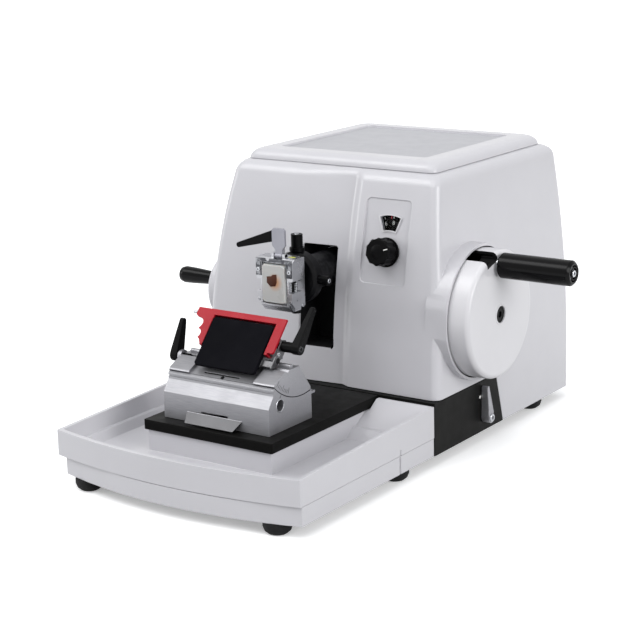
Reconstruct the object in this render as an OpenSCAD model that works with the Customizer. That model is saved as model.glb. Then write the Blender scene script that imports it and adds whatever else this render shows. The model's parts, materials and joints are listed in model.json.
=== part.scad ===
// Rotary microtome: a hand-cranked slicer for wax blocks on a bench.
// x = 0 is the centre plane of the base, y = 0 the front of the black casting, z = 0 the bench.
// The waste tray faces -Y and the handwheel is on +X.

/* [Base and tray] */
// Half the width of the base, the tray and the housing at its foot
base_half = 141; // [134:1:160]
// Height of the rubber feet
foot_h = 12; // [8:1:18]
// Radius of a rubber foot at its top
foot_r = 13.5; // [9:0.5:15]
// Depth of the waste tray, from the casting to its front corners
tray_d = 224; // [216:1:250]
// How far the tray front bows out between its corners
tray_bow = 17; // [6:1:26]
// Height of the lower white tier
tier_h = 18.3; // [14:0.1:20]
// Height of the tray's front wall
tray_h = 25.5; // [23:0.5:30]
// Rise of the tray rim from front to rear
tray_rise = 6.4; // [2:0.1:8]
// Wall of the moulded tray
tray_wall = 3; // [2.4:0.1:4]
// How far the lower tier stands back on the left
tier_inset = 7; // [2:0.5:9]
// Half the width of the black knife plate
plate_half = 75; // [73:0.5:84]
// Length of the knife plate, from the casting forwards
plate_len = 177; // [174:1:186]
// Thickness of the knife plate
plate_t = 10; // [8:0.5:12]
// Half the width of the cast pedestal below the plate
pedestal_half = 68; // [62:0.5:70]
// Thickness of the steel floor plate
floor_t = 4; // [3:0.5:6]
// Wall of the black casting
cast_wall = 6; // [5:0.5:8]

/* [Housing] */
// Depth of the housing, from the casting's front to its rear wall
housing_d = 285; // [275:1:310]
// Height of the housing's lower front edge
housing_z = 65.4; // [64:0.2:68]
// Height of the seam below the top cover
seam_z = 278; // [274:1:290]
// Thickness of the housing shell
shell_t = 3; // [2.5:0.1:3.5]
// Setback of the front face at its lower edge
front_set = 6; // [4:0.5:8]
// Even part of the front face's backward lean
front_lean = 16; // [12:0.5:20]
// Curved part of the front face's backward lean
front_curve = 16.5; // [12:0.5:20]
// Draft of each side, from the lower edge to the shoulder
side_draft = 18; // [12:0.5:22]
// Radius of the rounded shoulder
shoulder_r = 12.5; // [12:0.5:15]
// Radius of the upright corners
corner_r = 9; // [6:0.5:12]
// Depth of the scoop beside the control panel
scoop_d = 5; // [2:0.5:7]
// Place of the ridge between scoop and control panel
ridge_x = 39; // [34:1:42]
// Height of the top cover above its seam
cover_h = 10.8; // [9:0.2:14]
// Depth of the shallow dish in the top cover
dish_d = 2.2; // [1:0.1:3]
// Half the width of the specimen slot
slot_half = 20; // [20:0.25:22]
// Distance of the slot's middle from the centre plane, to the left
slot_off = 4.5; // [3:0.25:5]
// Lower edge of the specimen slot
slot_z0 = 100; // [97:0.5:102]
// Upper edge of the specimen slot
slot_z1 = 202.5; // [200:0.5:206]

/* [Handwheel] */
// Distance of the main shaft behind the casting's front
shaft_y = 78.5; // [76:0.5:82]
// Height of the main shaft
shaft_z = 140; // [138:0.5:144]
// Radius of the handwheel
wheel_r = 64; // [60:0.5:65]
// Depth of the handwheel rim
wheel_w = 24; // [20:0.5:26]
// Distance of the handwheel's face from the base's side
wheel_out = 29; // [25:0.5:35]
// Gap between the handwheel rim and the collar round it
collar_gap = 1; // [0.8:0.1:1.4]
// Wall of the collar round the handwheel
collar_t = 3; // [2.5:0.1:3.5]
// Radius of the crank grip
grip_r = 12.5; // [10:0.5:14]
// Length of the crank grip
grip_len = 77; // [70:1:85]
// Distance of the grip from the wheel's centre
grip_throw = 50; // [44:0.5:50]
// Radius of the main shaft
shaft_r = 10; // [8:0.5:11]
// Throw of the crank: half the vertical stroke
crank_r = 29; // [26:0.5:30]

/* [Coarse feed wheel] */
// Radius of the coarse feed wheel
coarse_r = 36; // [32:0.5:40]
// Distance of its shaft behind the casting's front
coarse_y = 70; // [68:0.5:73]
// Height of its shaft
coarse_z = 134; // [130:0.5:138]
// Distance of the coarse wheel's face from the base's side
coarse_out = 19; // [17:0.5:25]
// Length of its grip
coarse_grip_len = 46; // [40:1:50]
// Radius of its grip at the outer end
coarse_grip_r = 9; // [7:0.5:10]

/* [Control panel] */
// Left edge of the recessed panel
panel_x0 = 46; // [45:0.5:48]
// Right edge of the recessed panel
panel_x1 = 97.5; // [96:0.5:100]
// Height of the control panel
panel_h = 81.5; // [78:0.5:86]
// Distance of the panel's upper edge below the seam
panel_drop = 25; // [23:0.5:28]
// Depth of the recess at its ends
panel_d = 1; // [0.6:0.1:1.4]
// Distance of the knob's axis below the seam
knob_drop = 75.5; // [72:0.5:78]
// Distance of the thickness knob from the centre plane
knob_x = 74.5; // [72:0.5:77]
// Radius of the thickness knob
knob_r = 13.5; // [11:0.5:15]
// Length of the thickness knob
knob_len = 18; // [14:0.5:22]
// Radius of the numbered dial behind the panel
dial_r = 37.5; // [37:0.5:39]

/* [Specimen head] */
// Distance of the head's axis from the centre plane, to the left
head_off = 3; // [1:0.5:5]
// Height of the head's axis at the top of the stroke
head_z = 178; // [175:0.5:180]
// Radius of the specimen cylinder
cylinder_r = 17.5; // [15:0.5:17.5]
// Radius of the black head disc
disc_r = 26; // [24:0.5:27]
// Thickness of the head disc
disc_t = 13; // [11:0.5:15]
// Reach of the cylinder in front of the casting
head_reach = 12; // [10:0.5:16]
// Half the width of the cassette clamp's body
clamp_half = 16.5; // [16:0.25:17]
// Half the width of its jaw
jaw_half = 21.5; // [20:0.25:22]
// Height of the cassette clamp
clamp_h = 53; // [52:0.5:54]
// Depth of the cassette clamp
clamp_t = 20; // [19:0.5:21]
// Width of the tissue cassette
cassette_w = 28.5; // [26:0.25:29]
// Height of the tissue cassette
cassette_h = 40; // [36:0.5:41]

/* [Knife holder] */
// Distance of the knife holder's centre plane to the right
knife_x = 2; // [0:0.5:4]
// Half the width of the holder base
holder_half = 61.5; // [56:0.5:63]
// Front face of the holder base, from the casting forwards
holder_front = 162; // [160:0.5:164]
// Depth of the holder base from front to rear
holder_d = 68; // [66:0.5:70]
// Distance of the cradle's axis, at the knife edge, from the casting
edge_y = 109.4; // [108:0.2:111]
// Height of the cradle's axis
edge_z = 152; // [150:0.5:154]
// Radius of the cradle
cradle_r = 60.8; // [60:0.2:62]
// Slope of the knife and its pressure plate
blade_slope = 48; // [46:0.5:50]
// Half the width of the pressure plate
press_half = 35; // [32:0.5:37]
// Height of the pressure plate along its slope
press_h = 51; // [48:0.5:52]
// Reach of the knife guard to the left of the holder's centre plane
guard_left = 57.5; // [56:0.5:60]
// Reach of the knife guard to the right of it
guard_right = 46; // [45:0.5:48]

/* [Clearances] */
// Radial clearance of a shaft in its bearing
run_gap = 0.05; // [0.02:0.01:0.1]
// Gap between flat faces that slide past each other
slide_gap = 0.3; // [0.2:0.05:0.4]
// Gap between a moving piece and a guard or wall
free_gap = 1; // [0.6:0.1:1.5]

/* [Hidden] */
$fn = 48;
eps = 0.01;

// Colours, as the photograph shows them
c_white = [0.93, 0.93, 0.94];
c_black = [0.08, 0.08, 0.09];
c_steel = [0.74, 0.75, 0.77];
c_alu = [0.68, 0.69, 0.71];
c_red = [0.80, 0.13, 0.16];
c_iron = [0.36, 0.37, 0.39];

// Levels of the base
tier_z1 = foot_h + tier_h;
tray_z0 = tier_z1 + slide_gap;
tray_z1 = tray_z0 + tray_h;
plate_z1 = housing_z - 0.9;
plate_z0 = plate_z1 - plate_t;
floor_z1 = foot_h + floor_t;

// Head and carriage
wheel_face = base_half + wheel_out;
coarse_face = base_half + coarse_out;
panel_z1 = seam_z - panel_drop;
panel_z0 = panel_z1 - panel_h;
knob_z = seam_z - knob_drop;
head_x = -head_off;
slot_x = -slot_off;
disc_y1 = -head_reach;
disc_y0 = disc_y1 - disc_t;
rod_off = 34;
rod_r = 6;
slide_half = 44;
slide_y0 = 50.3;
slide_y1 = 100;
slide_h = 56;
stroke = 2 * crank_r;
crank_z = shaft_z + crank_r;
shield_t = 2;
shield_y0 = slide_y0 - shield_t;
yoke_x0 = head_x + slide_half;
yoke_t = 5;
roller_r = 5;
disc_x0 = yoke_x0 + yoke_t + 6;
disc_w = 10;
spline_x = -62;
spline_y = 78;
spline_r = 5;
gearbox_z0 = head_z + slide_h / 2;
gearbox_h = 20;
column_y0 = 112;
column_y1 = 142;
column_top = 250;
bracket_t = 12;

// Knife slope frame: u runs down the slope from the edge, n stands off it
blade_lift = 2;
holder_x0 = knife_x - holder_half;
segment_top = 120;

// Draws its children in the frame of the leaning control panel: x across, y up the face, z outwards
module on_panel(x = 0, up = 0) {
    translate([x, panel_y(panel_z0), panel_z0]) rotate([90 - panel_tilt, 0, 0])
        translate([0, up, 0]) children();
}

// Draws its children on the knife's slope: x across, y up the slope from the edge, z off its face
module on_slope() {
    translate([knife_x, -edge_y, edge_z + blade_lift]) rotate([blade_slope, 0, 0]) children();
}

// A cylinder along +X from x0 to x1
module bar_x(r, x0, x1, y = 0, z = 0) {
    translate([x0, y, z]) rotate([0, 90, 0]) cylinder(r = r, h = x1 - x0);
}

// A cylinder along +Y from y0 to y1
module bar_y(r, y0, y1, x = 0, z = 0) {
    translate([x, y0, z]) rotate([-90, 0, 0]) cylinder(r = r, h = y1 - y0);
}

// A box given by its two corners
module block(a, b) {
    translate(a) cube(b - a);
}

// A rectangle with rounded corners, centred
module round_rect(w, h, r) {
    polygon([for (q = [0:3], i = [0:6]) let (a = 90 * q + 15 * i)
        [(q == 0 || q == 3 ? 1 : -1) * (w / 2 - r) + r * cos(a), (q < 2 ? 1 : -1) * (h / 2 - r) + r * sin(a)]]);
}

// Extrudes an outline drawn in (y, z) from x0 to x1
module along_x(x0, x1) {
    translate([x0, 0, 0]) rotate([90, 0, 90]) linear_extrude(x1 - x0) children();
}

// Extrudes an outline drawn in (x, z) from y0 to y1
module along_y(y0, y1) {
    translate([0, y1, 0]) rotate([90, 0, 0]) linear_extrude(y1 - y0) children();
}

// Housing form

shoulder_z = seam_z - 0.92 * shoulder_r;
band_w = 13;
scoop_x0 = -46;
scoop_steps = 7;
band_steps = 5;
corner_steps = 4;
wall_levels = 9;
shoulder_levels = 4;
rear_round = 2;

// Height as a share of the way from the lower edge to the shoulder
function rise(z) = max(0, (z - housing_z) / (shoulder_z - housing_z));
// How far the shoulder has rounded in at height z
function round_in(z) = z <= shoulder_z ? 0
    : shoulder_r * (1 - sqrt(1 - pow((z - shoulder_z) / shoulder_r, 2)));
function side_x(z) = base_half - side_draft * pow(rise(z), 1.9) - round_in(z);
function front_y(z) = front_set + front_lean * rise(z) + front_curve * pow(rise(z), 3) + round_in(z);
function rear_y(z) = housing_d - rear_round * round_in(z);
// The scoop deepens towards the panel, then comes forward again over the band, and dies out on top
function scoop_share(x) = x <= scoop_x0 ? 0
    : x <= ridge_x - band_w ? pow((x - scoop_x0) / (ridge_x - band_w - scoop_x0), 1.5)
    : x < ridge_x ? (1 + cos(180 * (x - ridge_x + band_w) / band_w)) / 2 : 0;
function scoop_fade(z) = z < shoulder_z ? 1 : max(0, 1 - (z - shoulder_z) / (seam_z - shoulder_z));
function scoop_y(x, z) = scoop_d * scoop_share(x) * scoop_fade(z);

// One quarter of a rounded corner, from angle a0
function corner(cx, cy, r, a0, first, last) =
    [for (i = [first:last]) [cx + r * cos(a0 + 90 * i / corner_steps),
                             cy + r * sin(a0 + 90 * i / corner_steps)]];

function front_xs(half) = concat([-half],
    [for (i = [0:scoop_steps]) scoop_x0 + (ridge_x - band_w - scoop_x0) * i / scoop_steps],
    [for (i = [1:band_steps]) ridge_x - band_w + band_w * i / band_steps], [half]);

// The housing's outline at height z, stood in by d
function ring(z, d) = let (
        half = side_x(z) - d,
        r = max(2, corner_r - d),
        y0 = front_y(z) + d,
        y1 = rear_y(z) - d,
        n = corner_steps)
    concat([for (x = front_xs(half - r)) [x, y0 + scoop_y(x, z), z]],
        [for (p = concat(corner(half - r, y0 + r, r, -90, 1, n), corner(half - r, y1 - r, r, 0, 0, n),
            corner(r - half, y1 - r, r, 90, 0, n), corner(r - half, y0 + r, r, 180, 0, n - 1)))
            [p[0], p[1], z]]);

housing_levels = concat([foot_h],
    [for (i = [0:wall_levels]) housing_z + (shoulder_z - housing_z) * i / wall_levels],
    [for (i = [1:shoulder_levels]) shoulder_z + shoulder_r * sin(i * asin(0.92) / shoulder_levels)]);

// Joins outlines of equal length into a wall; the flag turns it inside out
function wall_faces(count, levels, start, inward) = [for (l = [0:levels - 2], i = [0:count - 1], h = [0, 1])
    let (a = start + l * count + i, b = start + l * count + (i + 1) % count,
         f = h == 0 ? [a, a + count, b] : [b, a + count, b + count])
    inward ? [f[2], f[1], f[0]] : f];

// A shell of wall thickness t round the outlines of f at the given levels, open above and below
module housing_form(levels, t) {
    outer = [for (z = levels) each ring(z, 0)];
    inner = [for (z = levels) each ring(z, t)];
    count = len(ring(levels[0], 0));
    n = len(levels);
    top = (n - 1) * count;
    polyhedron(points = concat(outer, inner), faces = concat(
        wall_faces(count, n, 0, false),
        wall_faces(count, n, n * count, true),
        [for (i = [0:count - 1]) let (j = (i + 1) % count) [i, j, n * count + j, n * count + i]],
        [for (i = [0:count - 1]) let (j = (i + 1) % count)
            [top + j, top + i, n * count + top + i, n * count + top + j]]));
}

// Control panel frame
function panel_y(z) = front_y(z);
panel_tilt = atan((front_y(panel_z1) - front_y(panel_z0)) / (panel_z1 - panel_z0));
panel_len = (panel_z1 - panel_z0) / cos(panel_tilt);
knob_up = (knob_z - panel_z0) / cos(panel_tilt);
pad_t = 4.5;
window_r0 = 21.5;
window_r1 = 36;
window_a = 19.5;

module panel_outline(grow) {
    translate([(panel_x0 + panel_x1) / 2, panel_len / 2])
        round_rect(panel_x1 - panel_x0 + 2 * grow, panel_len + 2 * grow, 5 + grow);
}

// The window is a slice of a ring round the knob
module window_outline(grow) {
    difference() {
        intersection() {
            circle(r = window_r1 + grow);
            polygon([[0, 0], for (s = [-1, 1]) 2 * window_r1 * [s * tan(window_a), 1]]);
        }
        circle(r = window_r0 - grow);
    }
}

pan_floor = 4;
pan_x1 = wheel_face - wheel_w + 2;
pan_x0 = wheel_face - 42;

module housing_shell() color(c_white) difference() {
    union() {
        housing_form(housing_levels, shell_t);
        // Pan and collar round the handwheel, flush with the front corner
        intersection() {
            bar_x(wheel_r + collar_gap + collar_t, pan_x0 - pan_floor, pan_x1, shaft_y, shaft_z);
            block([0, front_y(shaft_z) - free_gap, 0], [pan_x1 + 1, housing_d, seam_z]);
        }
        intersection() {
            on_panel() translate([0, 0, -panel_d - pad_t]) linear_extrude(pad_t) panel_outline(3);
            block([panel_x0 - 9, 0, panel_z0 - 9], [panel_x1 + 9, 60, panel_z1 + 9]);
        }
        bar_x(coarse_hub_r + 4, -side_x(coarse_z) - 1, -side_x(coarse_z) + 10, coarse_y, coarse_z);
    }
    // The black casting takes the lower front corner
    along_x(-base_half - 1, base_half + 1)
        polygon([[-1, 0], [skirt_y0 + slide_gap, 0], [skirt_y0 + slide_gap, foot_h],
            [skirt_y1 + slide_gap, housing_z], [-1, housing_z]]);
    bar_x(wheel_r + collar_gap, pan_x0, pan_x1 + 1, shaft_y, shaft_z);
    bar_x(shaft_r + free_gap, pan_x0 - pan_floor - 1, pan_x0 + 1, shaft_y, shaft_z);
    bar_x(coarse_shaft_r + free_gap, -base_half - 1, -base_half + 20, coarse_y, coarse_z);
    along_y(-1, 40) translate([slot_x, (slot_z0 + slot_z1) / 2])
        round_rect(2 * slot_half, slot_z1 - slot_z0, 3);
    on_panel() translate([0, 0, -panel_d]) linear_extrude(30) panel_outline(0);
    on_panel(knob_x, knob_up) translate([0, 0, -20]) {
        cylinder(r = dial_shaft_r + slide_gap, h = 30);
        linear_extrude(30) window_outline(0);
    }
}

// The cover's outline, rounding in from the seam to its flat top
cover_top_in = 12.5;
cover_levels = 6;
function cover_in(i) = cover_top_in * (1 - cos(90 * i / cover_levels));
function cover_z(i) = seam_z + slide_gap + (cover_h - slide_gap) * sin(90 * i / cover_levels);
function cover_ring(i) = let (d = cover_in(i) + 0.6, half = side_x(seam_z) - d, r = 9,
        y0 = front_y(seam_z) + d, y1 = rear_y(seam_z) - d, n = corner_steps)
    [for (p = concat(corner(half - r, y0 + r, r, -90, 0, n), corner(half - r, y1 - r, r, 0, 0, n),
        corner(r - half, y1 - r, r, 90, 0, n), corner(r - half, y0 + r, r, 180, 0, n)))
        [p[0], p[1], cover_z(i)]];

cover_y_mid = (front_y(seam_z) + rear_y(seam_z)) / 2;
cover_len = rear_y(seam_z) - front_y(seam_z);
dish_margin = 26;

module top_cover() color(c_white) {
    count = len(cover_ring(0));
    top = cover_levels * count;
    difference() {
        polyhedron(points = [for (i = [0:cover_levels]) each cover_ring(i)],
            faces = concat(wall_faces(count, cover_levels + 1, 0, false),
                [[for (i = [0:count - 1]) i]], [[for (i = [count - 1:-1:0]) top + i]]));
        // Shallow dish for tools and blocks
        translate([0, cover_y_mid, seam_z + cover_h - dish_d]) linear_extrude(dish_d + 1)
            round_rect(2 * (side_x(seam_z) - dish_margin), cover_len - 2 * dish_margin, 4);
        // Hollow below the dish
        translate([0, cover_y_mid, seam_z - 1]) linear_extrude(cover_h - dish_d - shell_t + 1)
            round_rect(2 * side_x(seam_z) - 22, cover_len - 22, 8);
    }
    // Lip that centres the cover in the housing
    translate([0, cover_y_mid, seam_z - 3]) linear_extrude(3 + slide_gap) difference() {
        round_rect(2 * side_x(seam_z) - 16, cover_len - 16, 8);
        round_rect(2 * side_x(seam_z) - 22, cover_len - 22, 6);
    }
}

// Base

// The housing's skirt starts behind this slanted line
skirt_y0 = 136;
skirt_y1 = 121;
foot_x = base_half - 31;
foot_ys = [-tray_d + 8, -45, 224];
foot_xs = [foot_x, base_half - 17, base_half - 17];

// Three feet a side, and one below the middle of the casting
foot_spots = concat([for (s = [-1, 1], i = [0:2]) [s * foot_xs[i], foot_ys[i]]], [[0, 0]]);

module feet() color(c_black) for (spot = foot_spots) translate([spot[0], spot[1], 0])
    rotate_extrude() polygon([[0, 0], [foot_r - 5, 0], [foot_r - 1.5, 3], [foot_r, 7],
        [foot_r, foot_h], [0, foot_h]]);

module floor_plate() color(c_iron) {
    inner = base_half - max(cast_wall, shell_t) - slide_gap;
    block([-inner, cast_wall + slide_gap, foot_h],
        [inner, housing_d - shell_t - slide_gap, floor_z1]);
}

module base_casting() color(c_black) difference() {
    along_x(-base_half, base_half) polygon([[0, foot_h], [skirt_y0, foot_h], [skirt_y1, housing_z - slide_gap],
        [0, housing_z - slide_gap]]);
    // Seat for the floor plate, then the hollow above it, open to the rear
    block([-base_half + cast_wall, cast_wall, foot_h - 1], [base_half - cast_wall, skirt_y0 + 1, floor_z1]);
    block([-base_half + cast_wall + 4, cast_wall + 4, floor_z1 - eps],
        [base_half - cast_wall - 4, skirt_y0 + 1, housing_z - 8]);
    // Well for the carriage and the columns
    block([37 - base_half, cast_wall + 8, housing_z - 9], [base_half - 17, skirt_y0 + 1, housing_z + 1]);
    bar_x(brake_shaft_r + run_gap, base_half - cast_wall - 5, base_half + 1, brake_y, brake_z);
}

// Tray outline at half width w, with its front at y = -d and its rear at y = rear
function bow_y(x, w, bow) = bow * (1 - pow(x / w, 2));
module tray_outline(left, right, d, rear, bow) {
    w = (left + right) / 2;
    c = (right - left) / 2;
    steps = 16;
    polygon(concat([[right, rear], [-left, rear]],
        [for (i = [0:steps]) let (x = -w + 2 * w * i / steps) [c + x, -d - bow_y(x, w, bow)]]));
}

groove_y = -61;
groove_w = 1.5;
groove_d = 1.2;

// Short upright groove on the right side, across the seam of tier and tray
module side_groove(z0, z1) {
    block([base_half - groove_d, groove_y - groove_w / 2, z0], [base_half + 1, groove_y + groove_w / 2, z1]);
}

module front_base() color(c_white) difference() {
    translate([0, 0, foot_h]) linear_extrude(tier_h)
        tray_outline(base_half - tier_inset, base_half - 0.6, tray_d - 3, 0, tray_bow + 3);
    difference() {
        translate([0, 0, foot_h - 1]) linear_extrude(tier_h - tray_wall + 1)
            tray_outline(base_half - tier_inset - tray_wall, base_half - 0.6 - tray_wall,
                tray_d - 3 - tray_wall, -tray_wall, tray_bow + 3);
        // Bosses that the feet screw into
        for (s = [-1, 1], i = [0, 1]) translate([s * foot_xs[i], foot_ys[i], foot_h])
            cylinder(r = foot_r, h = tier_h);
    }
    block([knife_x - pedestal_half - slide_gap, -pedestal_d - slide_gap, foot_h - 1],
        [knife_x + pedestal_half + slide_gap, 1, tier_z1 + 1]);
    side_groove(foot_h - 1, tier_z1 + 1);
}

pedestal_d = plate_len - 6.5;
module pedestal() color(c_black) difference() {
    block([knife_x - pedestal_half, -pedestal_d, foot_h], [knife_x + pedestal_half, 0, plate_z0]);
    // Cored out from below, with a rib along the middle
    for (s = [-1, 1]) translate([knife_x + s * (pedestal_half + 2) / 2, -pedestal_d / 2, foot_h - 1])
        linear_extrude(plate_z0 - foot_h - 7)
            square([pedestal_half - 14, pedestal_d - 16], center = true);
}

// The plate has a T-slot for the knife holder, closed at both ends
tslot_y0 = -holder_front - 1;
tslot_y1 = -holder_front + 118;
tslot_half = 5;
tnut_half = 9;
tnut_t = 4;
module tslot_profile(gap) {
    for (b = [[tslot_half, -plate_t / 2 - 1, 1], [tnut_half, -plate_t / 2 - tnut_t + 1, -plate_t / 2 + 1]])
        translate([-b[0] - gap, b[1] - gap]) square([2 * (b[0] + gap), b[2] - b[1] + 2 * gap]);
}

module knife_plate() color(c_black) difference() {
    translate([knife_x, -plate_len / 2, plate_z0]) linear_extrude(plate_t)
        round_rect(2 * plate_half, plate_len, 1.5);
    translate([knife_x, 0, plate_z1]) along_y(tslot_y0, tslot_y1) tslot_profile(slide_gap);
}

// Waste tray: slides out forwards, with a bay at its rear for the pedestal
tray_floor = tray_z0 + tray_wall;
bay_half = pedestal_half + free_gap;
rim_rear_z = tray_z1 + tray_rise;
ledge_z = tray_floor + 9;

module tray_cavity(z, side, front, rear, bow) {
    translate([0, 0, z]) linear_extrude(eps)
        tray_outline(base_half - side, base_half - side, tray_d - front, -rear, bow);
}

module waste_tray() color(c_white) difference() {
    union() {
        difference() {
            translate([0, 0, tray_z0]) linear_extrude(rim_rear_z - tray_z0)
                tray_outline(base_half, base_half, tray_d, -slide_gap, tray_bow);
            // Lower hollow with flared walls and a long chute at the rear
            hull() {
                tray_cavity(tray_floor, 17, 14, 52, tray_bow - 2);
                tray_cavity(ledge_z, 12, 10, 40, tray_bow - 1);
            }
            // Upper hollow, stepped out above the ledge
            hull() {
                tray_cavity(ledge_z - eps, 8, 7, 36, tray_bow - 1);
                tray_cavity(rim_rear_z + 1, tray_wall, tray_wall, 4, tray_bow);
            }
        }
        block([knife_x - bay_half - tray_wall, -pedestal_d - free_gap - tray_wall, tray_z0],
            [knife_x + bay_half + tray_wall, -slide_gap, plate_z0 - slide_gap]);
    }
    block([knife_x - bay_half, -pedestal_d - free_gap, tray_z0 - 1], [knife_x + bay_half, 1, plate_z0 + 1]);
    // Clearance round the knife plate, up to the rear rim
    block([knife_x - plate_half - free_gap, -plate_len, plate_z0 - slide_gap],
        [knife_x + plate_half + free_gap, 1, rim_rear_z + 1]);
    side_groove(tray_z0 - 1, tray_z0 + 5.5);
    // The rim rises towards the rear
    along_x(-base_half - 1, base_half + 1) polygon([[-tray_d - tray_bow - 1, tray_z1], [-tray_d, tray_z1],
        [0, rim_rear_z], [0, rim_rear_z + 9], [-tray_d - tray_bow - 1, rim_rear_z + 9]]);
}

// The space inside the housing's wall, less a gap
module housing_inside(levels, d) {
    count = len(ring(levels[0], d));
    last = (len(levels) - 1) * count;
    low = last + count;
    middle = [for (z = [levels[0], levels[len(levels) - 1]]) [0, housing_d / 2, z]];
    polyhedron(points = concat([for (z = levels) each ring(z, d)], middle), faces = concat(
        wall_faces(count, len(levels), 0, false),
        [for (i = [0:count - 1]) [low, i, (i + 1) % count]],
        [for (i = [0:count - 1]) [low + 1, last + (i + 1) % count, last + i]]));
}

// Lines the slot so that nothing light shows behind it; its front edge follows the wall
liner_t = 2;
module slot_liner() color(c_black) intersection() {
    along_y(0, shield_y0 - free_gap) translate([slot_x, (slot_z0 + slot_z1) / 2]) difference() {
        round_rect(2 * (slot_half + liner_t), slot_z1 - slot_z0 + 2 * liner_t, 4);
        round_rect(2 * slot_half, slot_z1 - slot_z0, 3);
    }
    housing_inside([for (i = [1:wall_levels]) housing_z + (shoulder_z - housing_z) * i / wall_levels],
        shell_t + slide_gap);
}

// Frame inside the housing

module column() color(c_iron) difference() {
    union() {
        for (s = [-1, 1]) block([head_x + s * 34 - 9, column_y0, floor_z1], [head_x + s * 34 + 9, column_y1, column_top]);
        block([head_x - 43, column_y0, column_top - 14], [head_x + 43, column_y1, column_top]);
        block([head_x - 43, column_y0, floor_z1], [head_x + 43, column_y1 + 20, floor_z1 + 12]);
        // Brackets that hold the guide rods
        for (z = [housing_z + 2, column_top - bracket_t]) for (s = [-1, 1])
            block([head_x + s * rod_off - 9, shaft_y - 10, z], [head_x + s * rod_off + 9, column_y0 + 1, z + bracket_t]);
        // Arm to the upper end of the spline shaft
        block([spline_x - 8, spline_y - 8, column_top - bracket_t],
            [head_x - rod_off, spline_y + 8, column_top]);
    }
    for (s = [-1, 1]) translate([head_x + s * rod_off, shaft_y, housing_z + 1])
        cylinder(r = rod_r, h = column_top - housing_z);
    translate([spline_x, spline_y, column_top - bracket_t - 1]) cylinder(r = spline_r + run_gap, h = bracket_t + 2);
}

module guide_rods() color(c_steel) for (s = [-1, 1])
    translate([head_x + s * rod_off, shaft_y, housing_z + 2]) cylinder(r = rod_r, h = column_top - housing_z - 2);

bearing_r = shaft_r + 6;
bearing_x = [base_half - 69, base_half - 39];
bearing_w = 14;
module bearing_block() color(c_iron) difference() {
    union() for (x = bearing_x) {
        hull() {
            bar_x(bearing_r + 8, x - 2, x + bearing_w + 2, shaft_y, shaft_z);
            block([x - 2, shaft_y - 34, floor_z1], [x + bearing_w + 2, shaft_y + 34, floor_z1 + 6]);
        }
    }
    for (x = bearing_x) bar_x(bearing_r, x, x + bearing_w, shaft_y, shaft_z);
    bar_x(shaft_r + free_gap, bearing_x[0] - 9, bearing_x[1] + bearing_w + 9, shaft_y, shaft_z);
    // Passage for the brake's push rod and shaft
    block([bearing_x[0] - 3, shaft_y - 13, floor_z1 + 6], [bearing_x[1] + bearing_w + 3, brake_y + 9, shaft_z - 40]);
}

module main_bearings() color(c_steel) for (x = bearing_x) difference() {
    bar_x(bearing_r, x, x + bearing_w, shaft_y, shaft_z);
    bar_x(shaft_r + run_gap, x - 1, x + bearing_w + 1, shaft_y, shaft_z);
}

// Handwheel

wheel_x0 = wheel_face - wheel_w;
wheel_edge = 5;
cap_r = 8.2;
// Profile in (radius, distance from the centre plane)
module handwheel_profile() {
    rim = 3.5;
    web = 5;
    hub = 20;
    polygon(concat([[shaft_r + run_gap, wheel_x0 - 6], [hub, wheel_x0 - 6], [hub, wheel_face - web],
        [wheel_r - rim, wheel_face - web], [wheel_r - rim, wheel_x0], [wheel_r, wheel_x0]],
        [for (a = [0:15:90]) [wheel_r - wheel_edge + wheel_edge * cos(a), wheel_face - wheel_edge + wheel_edge * sin(a)]],
        [[cap_r + 0.3, wheel_face], [cap_r + 0.3, wheel_face - 4], [shaft_r + run_gap, wheel_face - 4]]));
}
grip_y = shaft_y - 2.5;
grip_z = shaft_z + sqrt(pow(grip_throw, 2) - pow(shaft_y - grip_y, 2));
notch_a = 17;
notch_w = 20;
notch_d = 9;

module at_wheel() { translate([0, shaft_y, shaft_z]) rotate([0, 90, 0]) children(); }

module handwheel() color(c_white) difference() {
    union() {
        at_wheel() rotate_extrude($fn = 96) handwheel_profile();
        // Boss behind the web that carries the grip's spindle
        bar_x(9, wheel_face - 18, wheel_face - 4, grip_y, grip_z);
    }
    bar_x(spindle_r, wheel_face - 19, wheel_face + 1, grip_y, grip_z);
    // Finger notch in the rim
    at_wheel() rotate([0, 0, 180 + notch_a]) translate([wheel_r - notch_d, -notch_w / 2, wheel_x0 - 1])
        cube([notch_d + 5, notch_w, wheel_w + 2]);
}

module hub_cap() color(c_black) difference() {
    bar_x(cap_r, wheel_face - 4, wheel_face - 1, shaft_y, shaft_z);
    translate([wheel_face - 2.5, shaft_y, shaft_z]) rotate([0, 90, 0]) cylinder(r = 3.5, h = 4, $fn = 6);
}

drum_r = 26;
drum_x0 = base_half - 51;
drum_w = 8;
module main_shaft() color(c_steel) {
    bar_x(shaft_r, disc_x0 + 2, wheel_face - 4, shaft_y, shaft_z);
    bar_x(drum_r, drum_x0, drum_x0 + drum_w, shaft_y, shaft_z);
}

// Crank with a counterweight opposite its pin
module crank_disc() color(c_iron) difference() {
    union() {
        bar_x(crank_r + 9, disc_x0, disc_x0 + disc_w, shaft_y, shaft_z);
        along_x(disc_x0, disc_x0 + disc_w) translate([shaft_y, shaft_z]) intersection() {
            circle(r = crank_r + 18);
            polygon([[0, 0], [-50, -50], [50, -50]]);
        }
        bar_x(shaft_r + 5, disc_x0 + disc_w - 1, disc_x0 + disc_w + 3, shaft_y, shaft_z);
        bar_x(roller_r - 1.5, yoke_x0 + yoke_t + 0.5, disc_x0 + 1, shaft_y, crank_z);
    }
    bar_x(shaft_r, disc_x0 + 2, disc_x0 + disc_w + 4, shaft_y, shaft_z);
}

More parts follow.
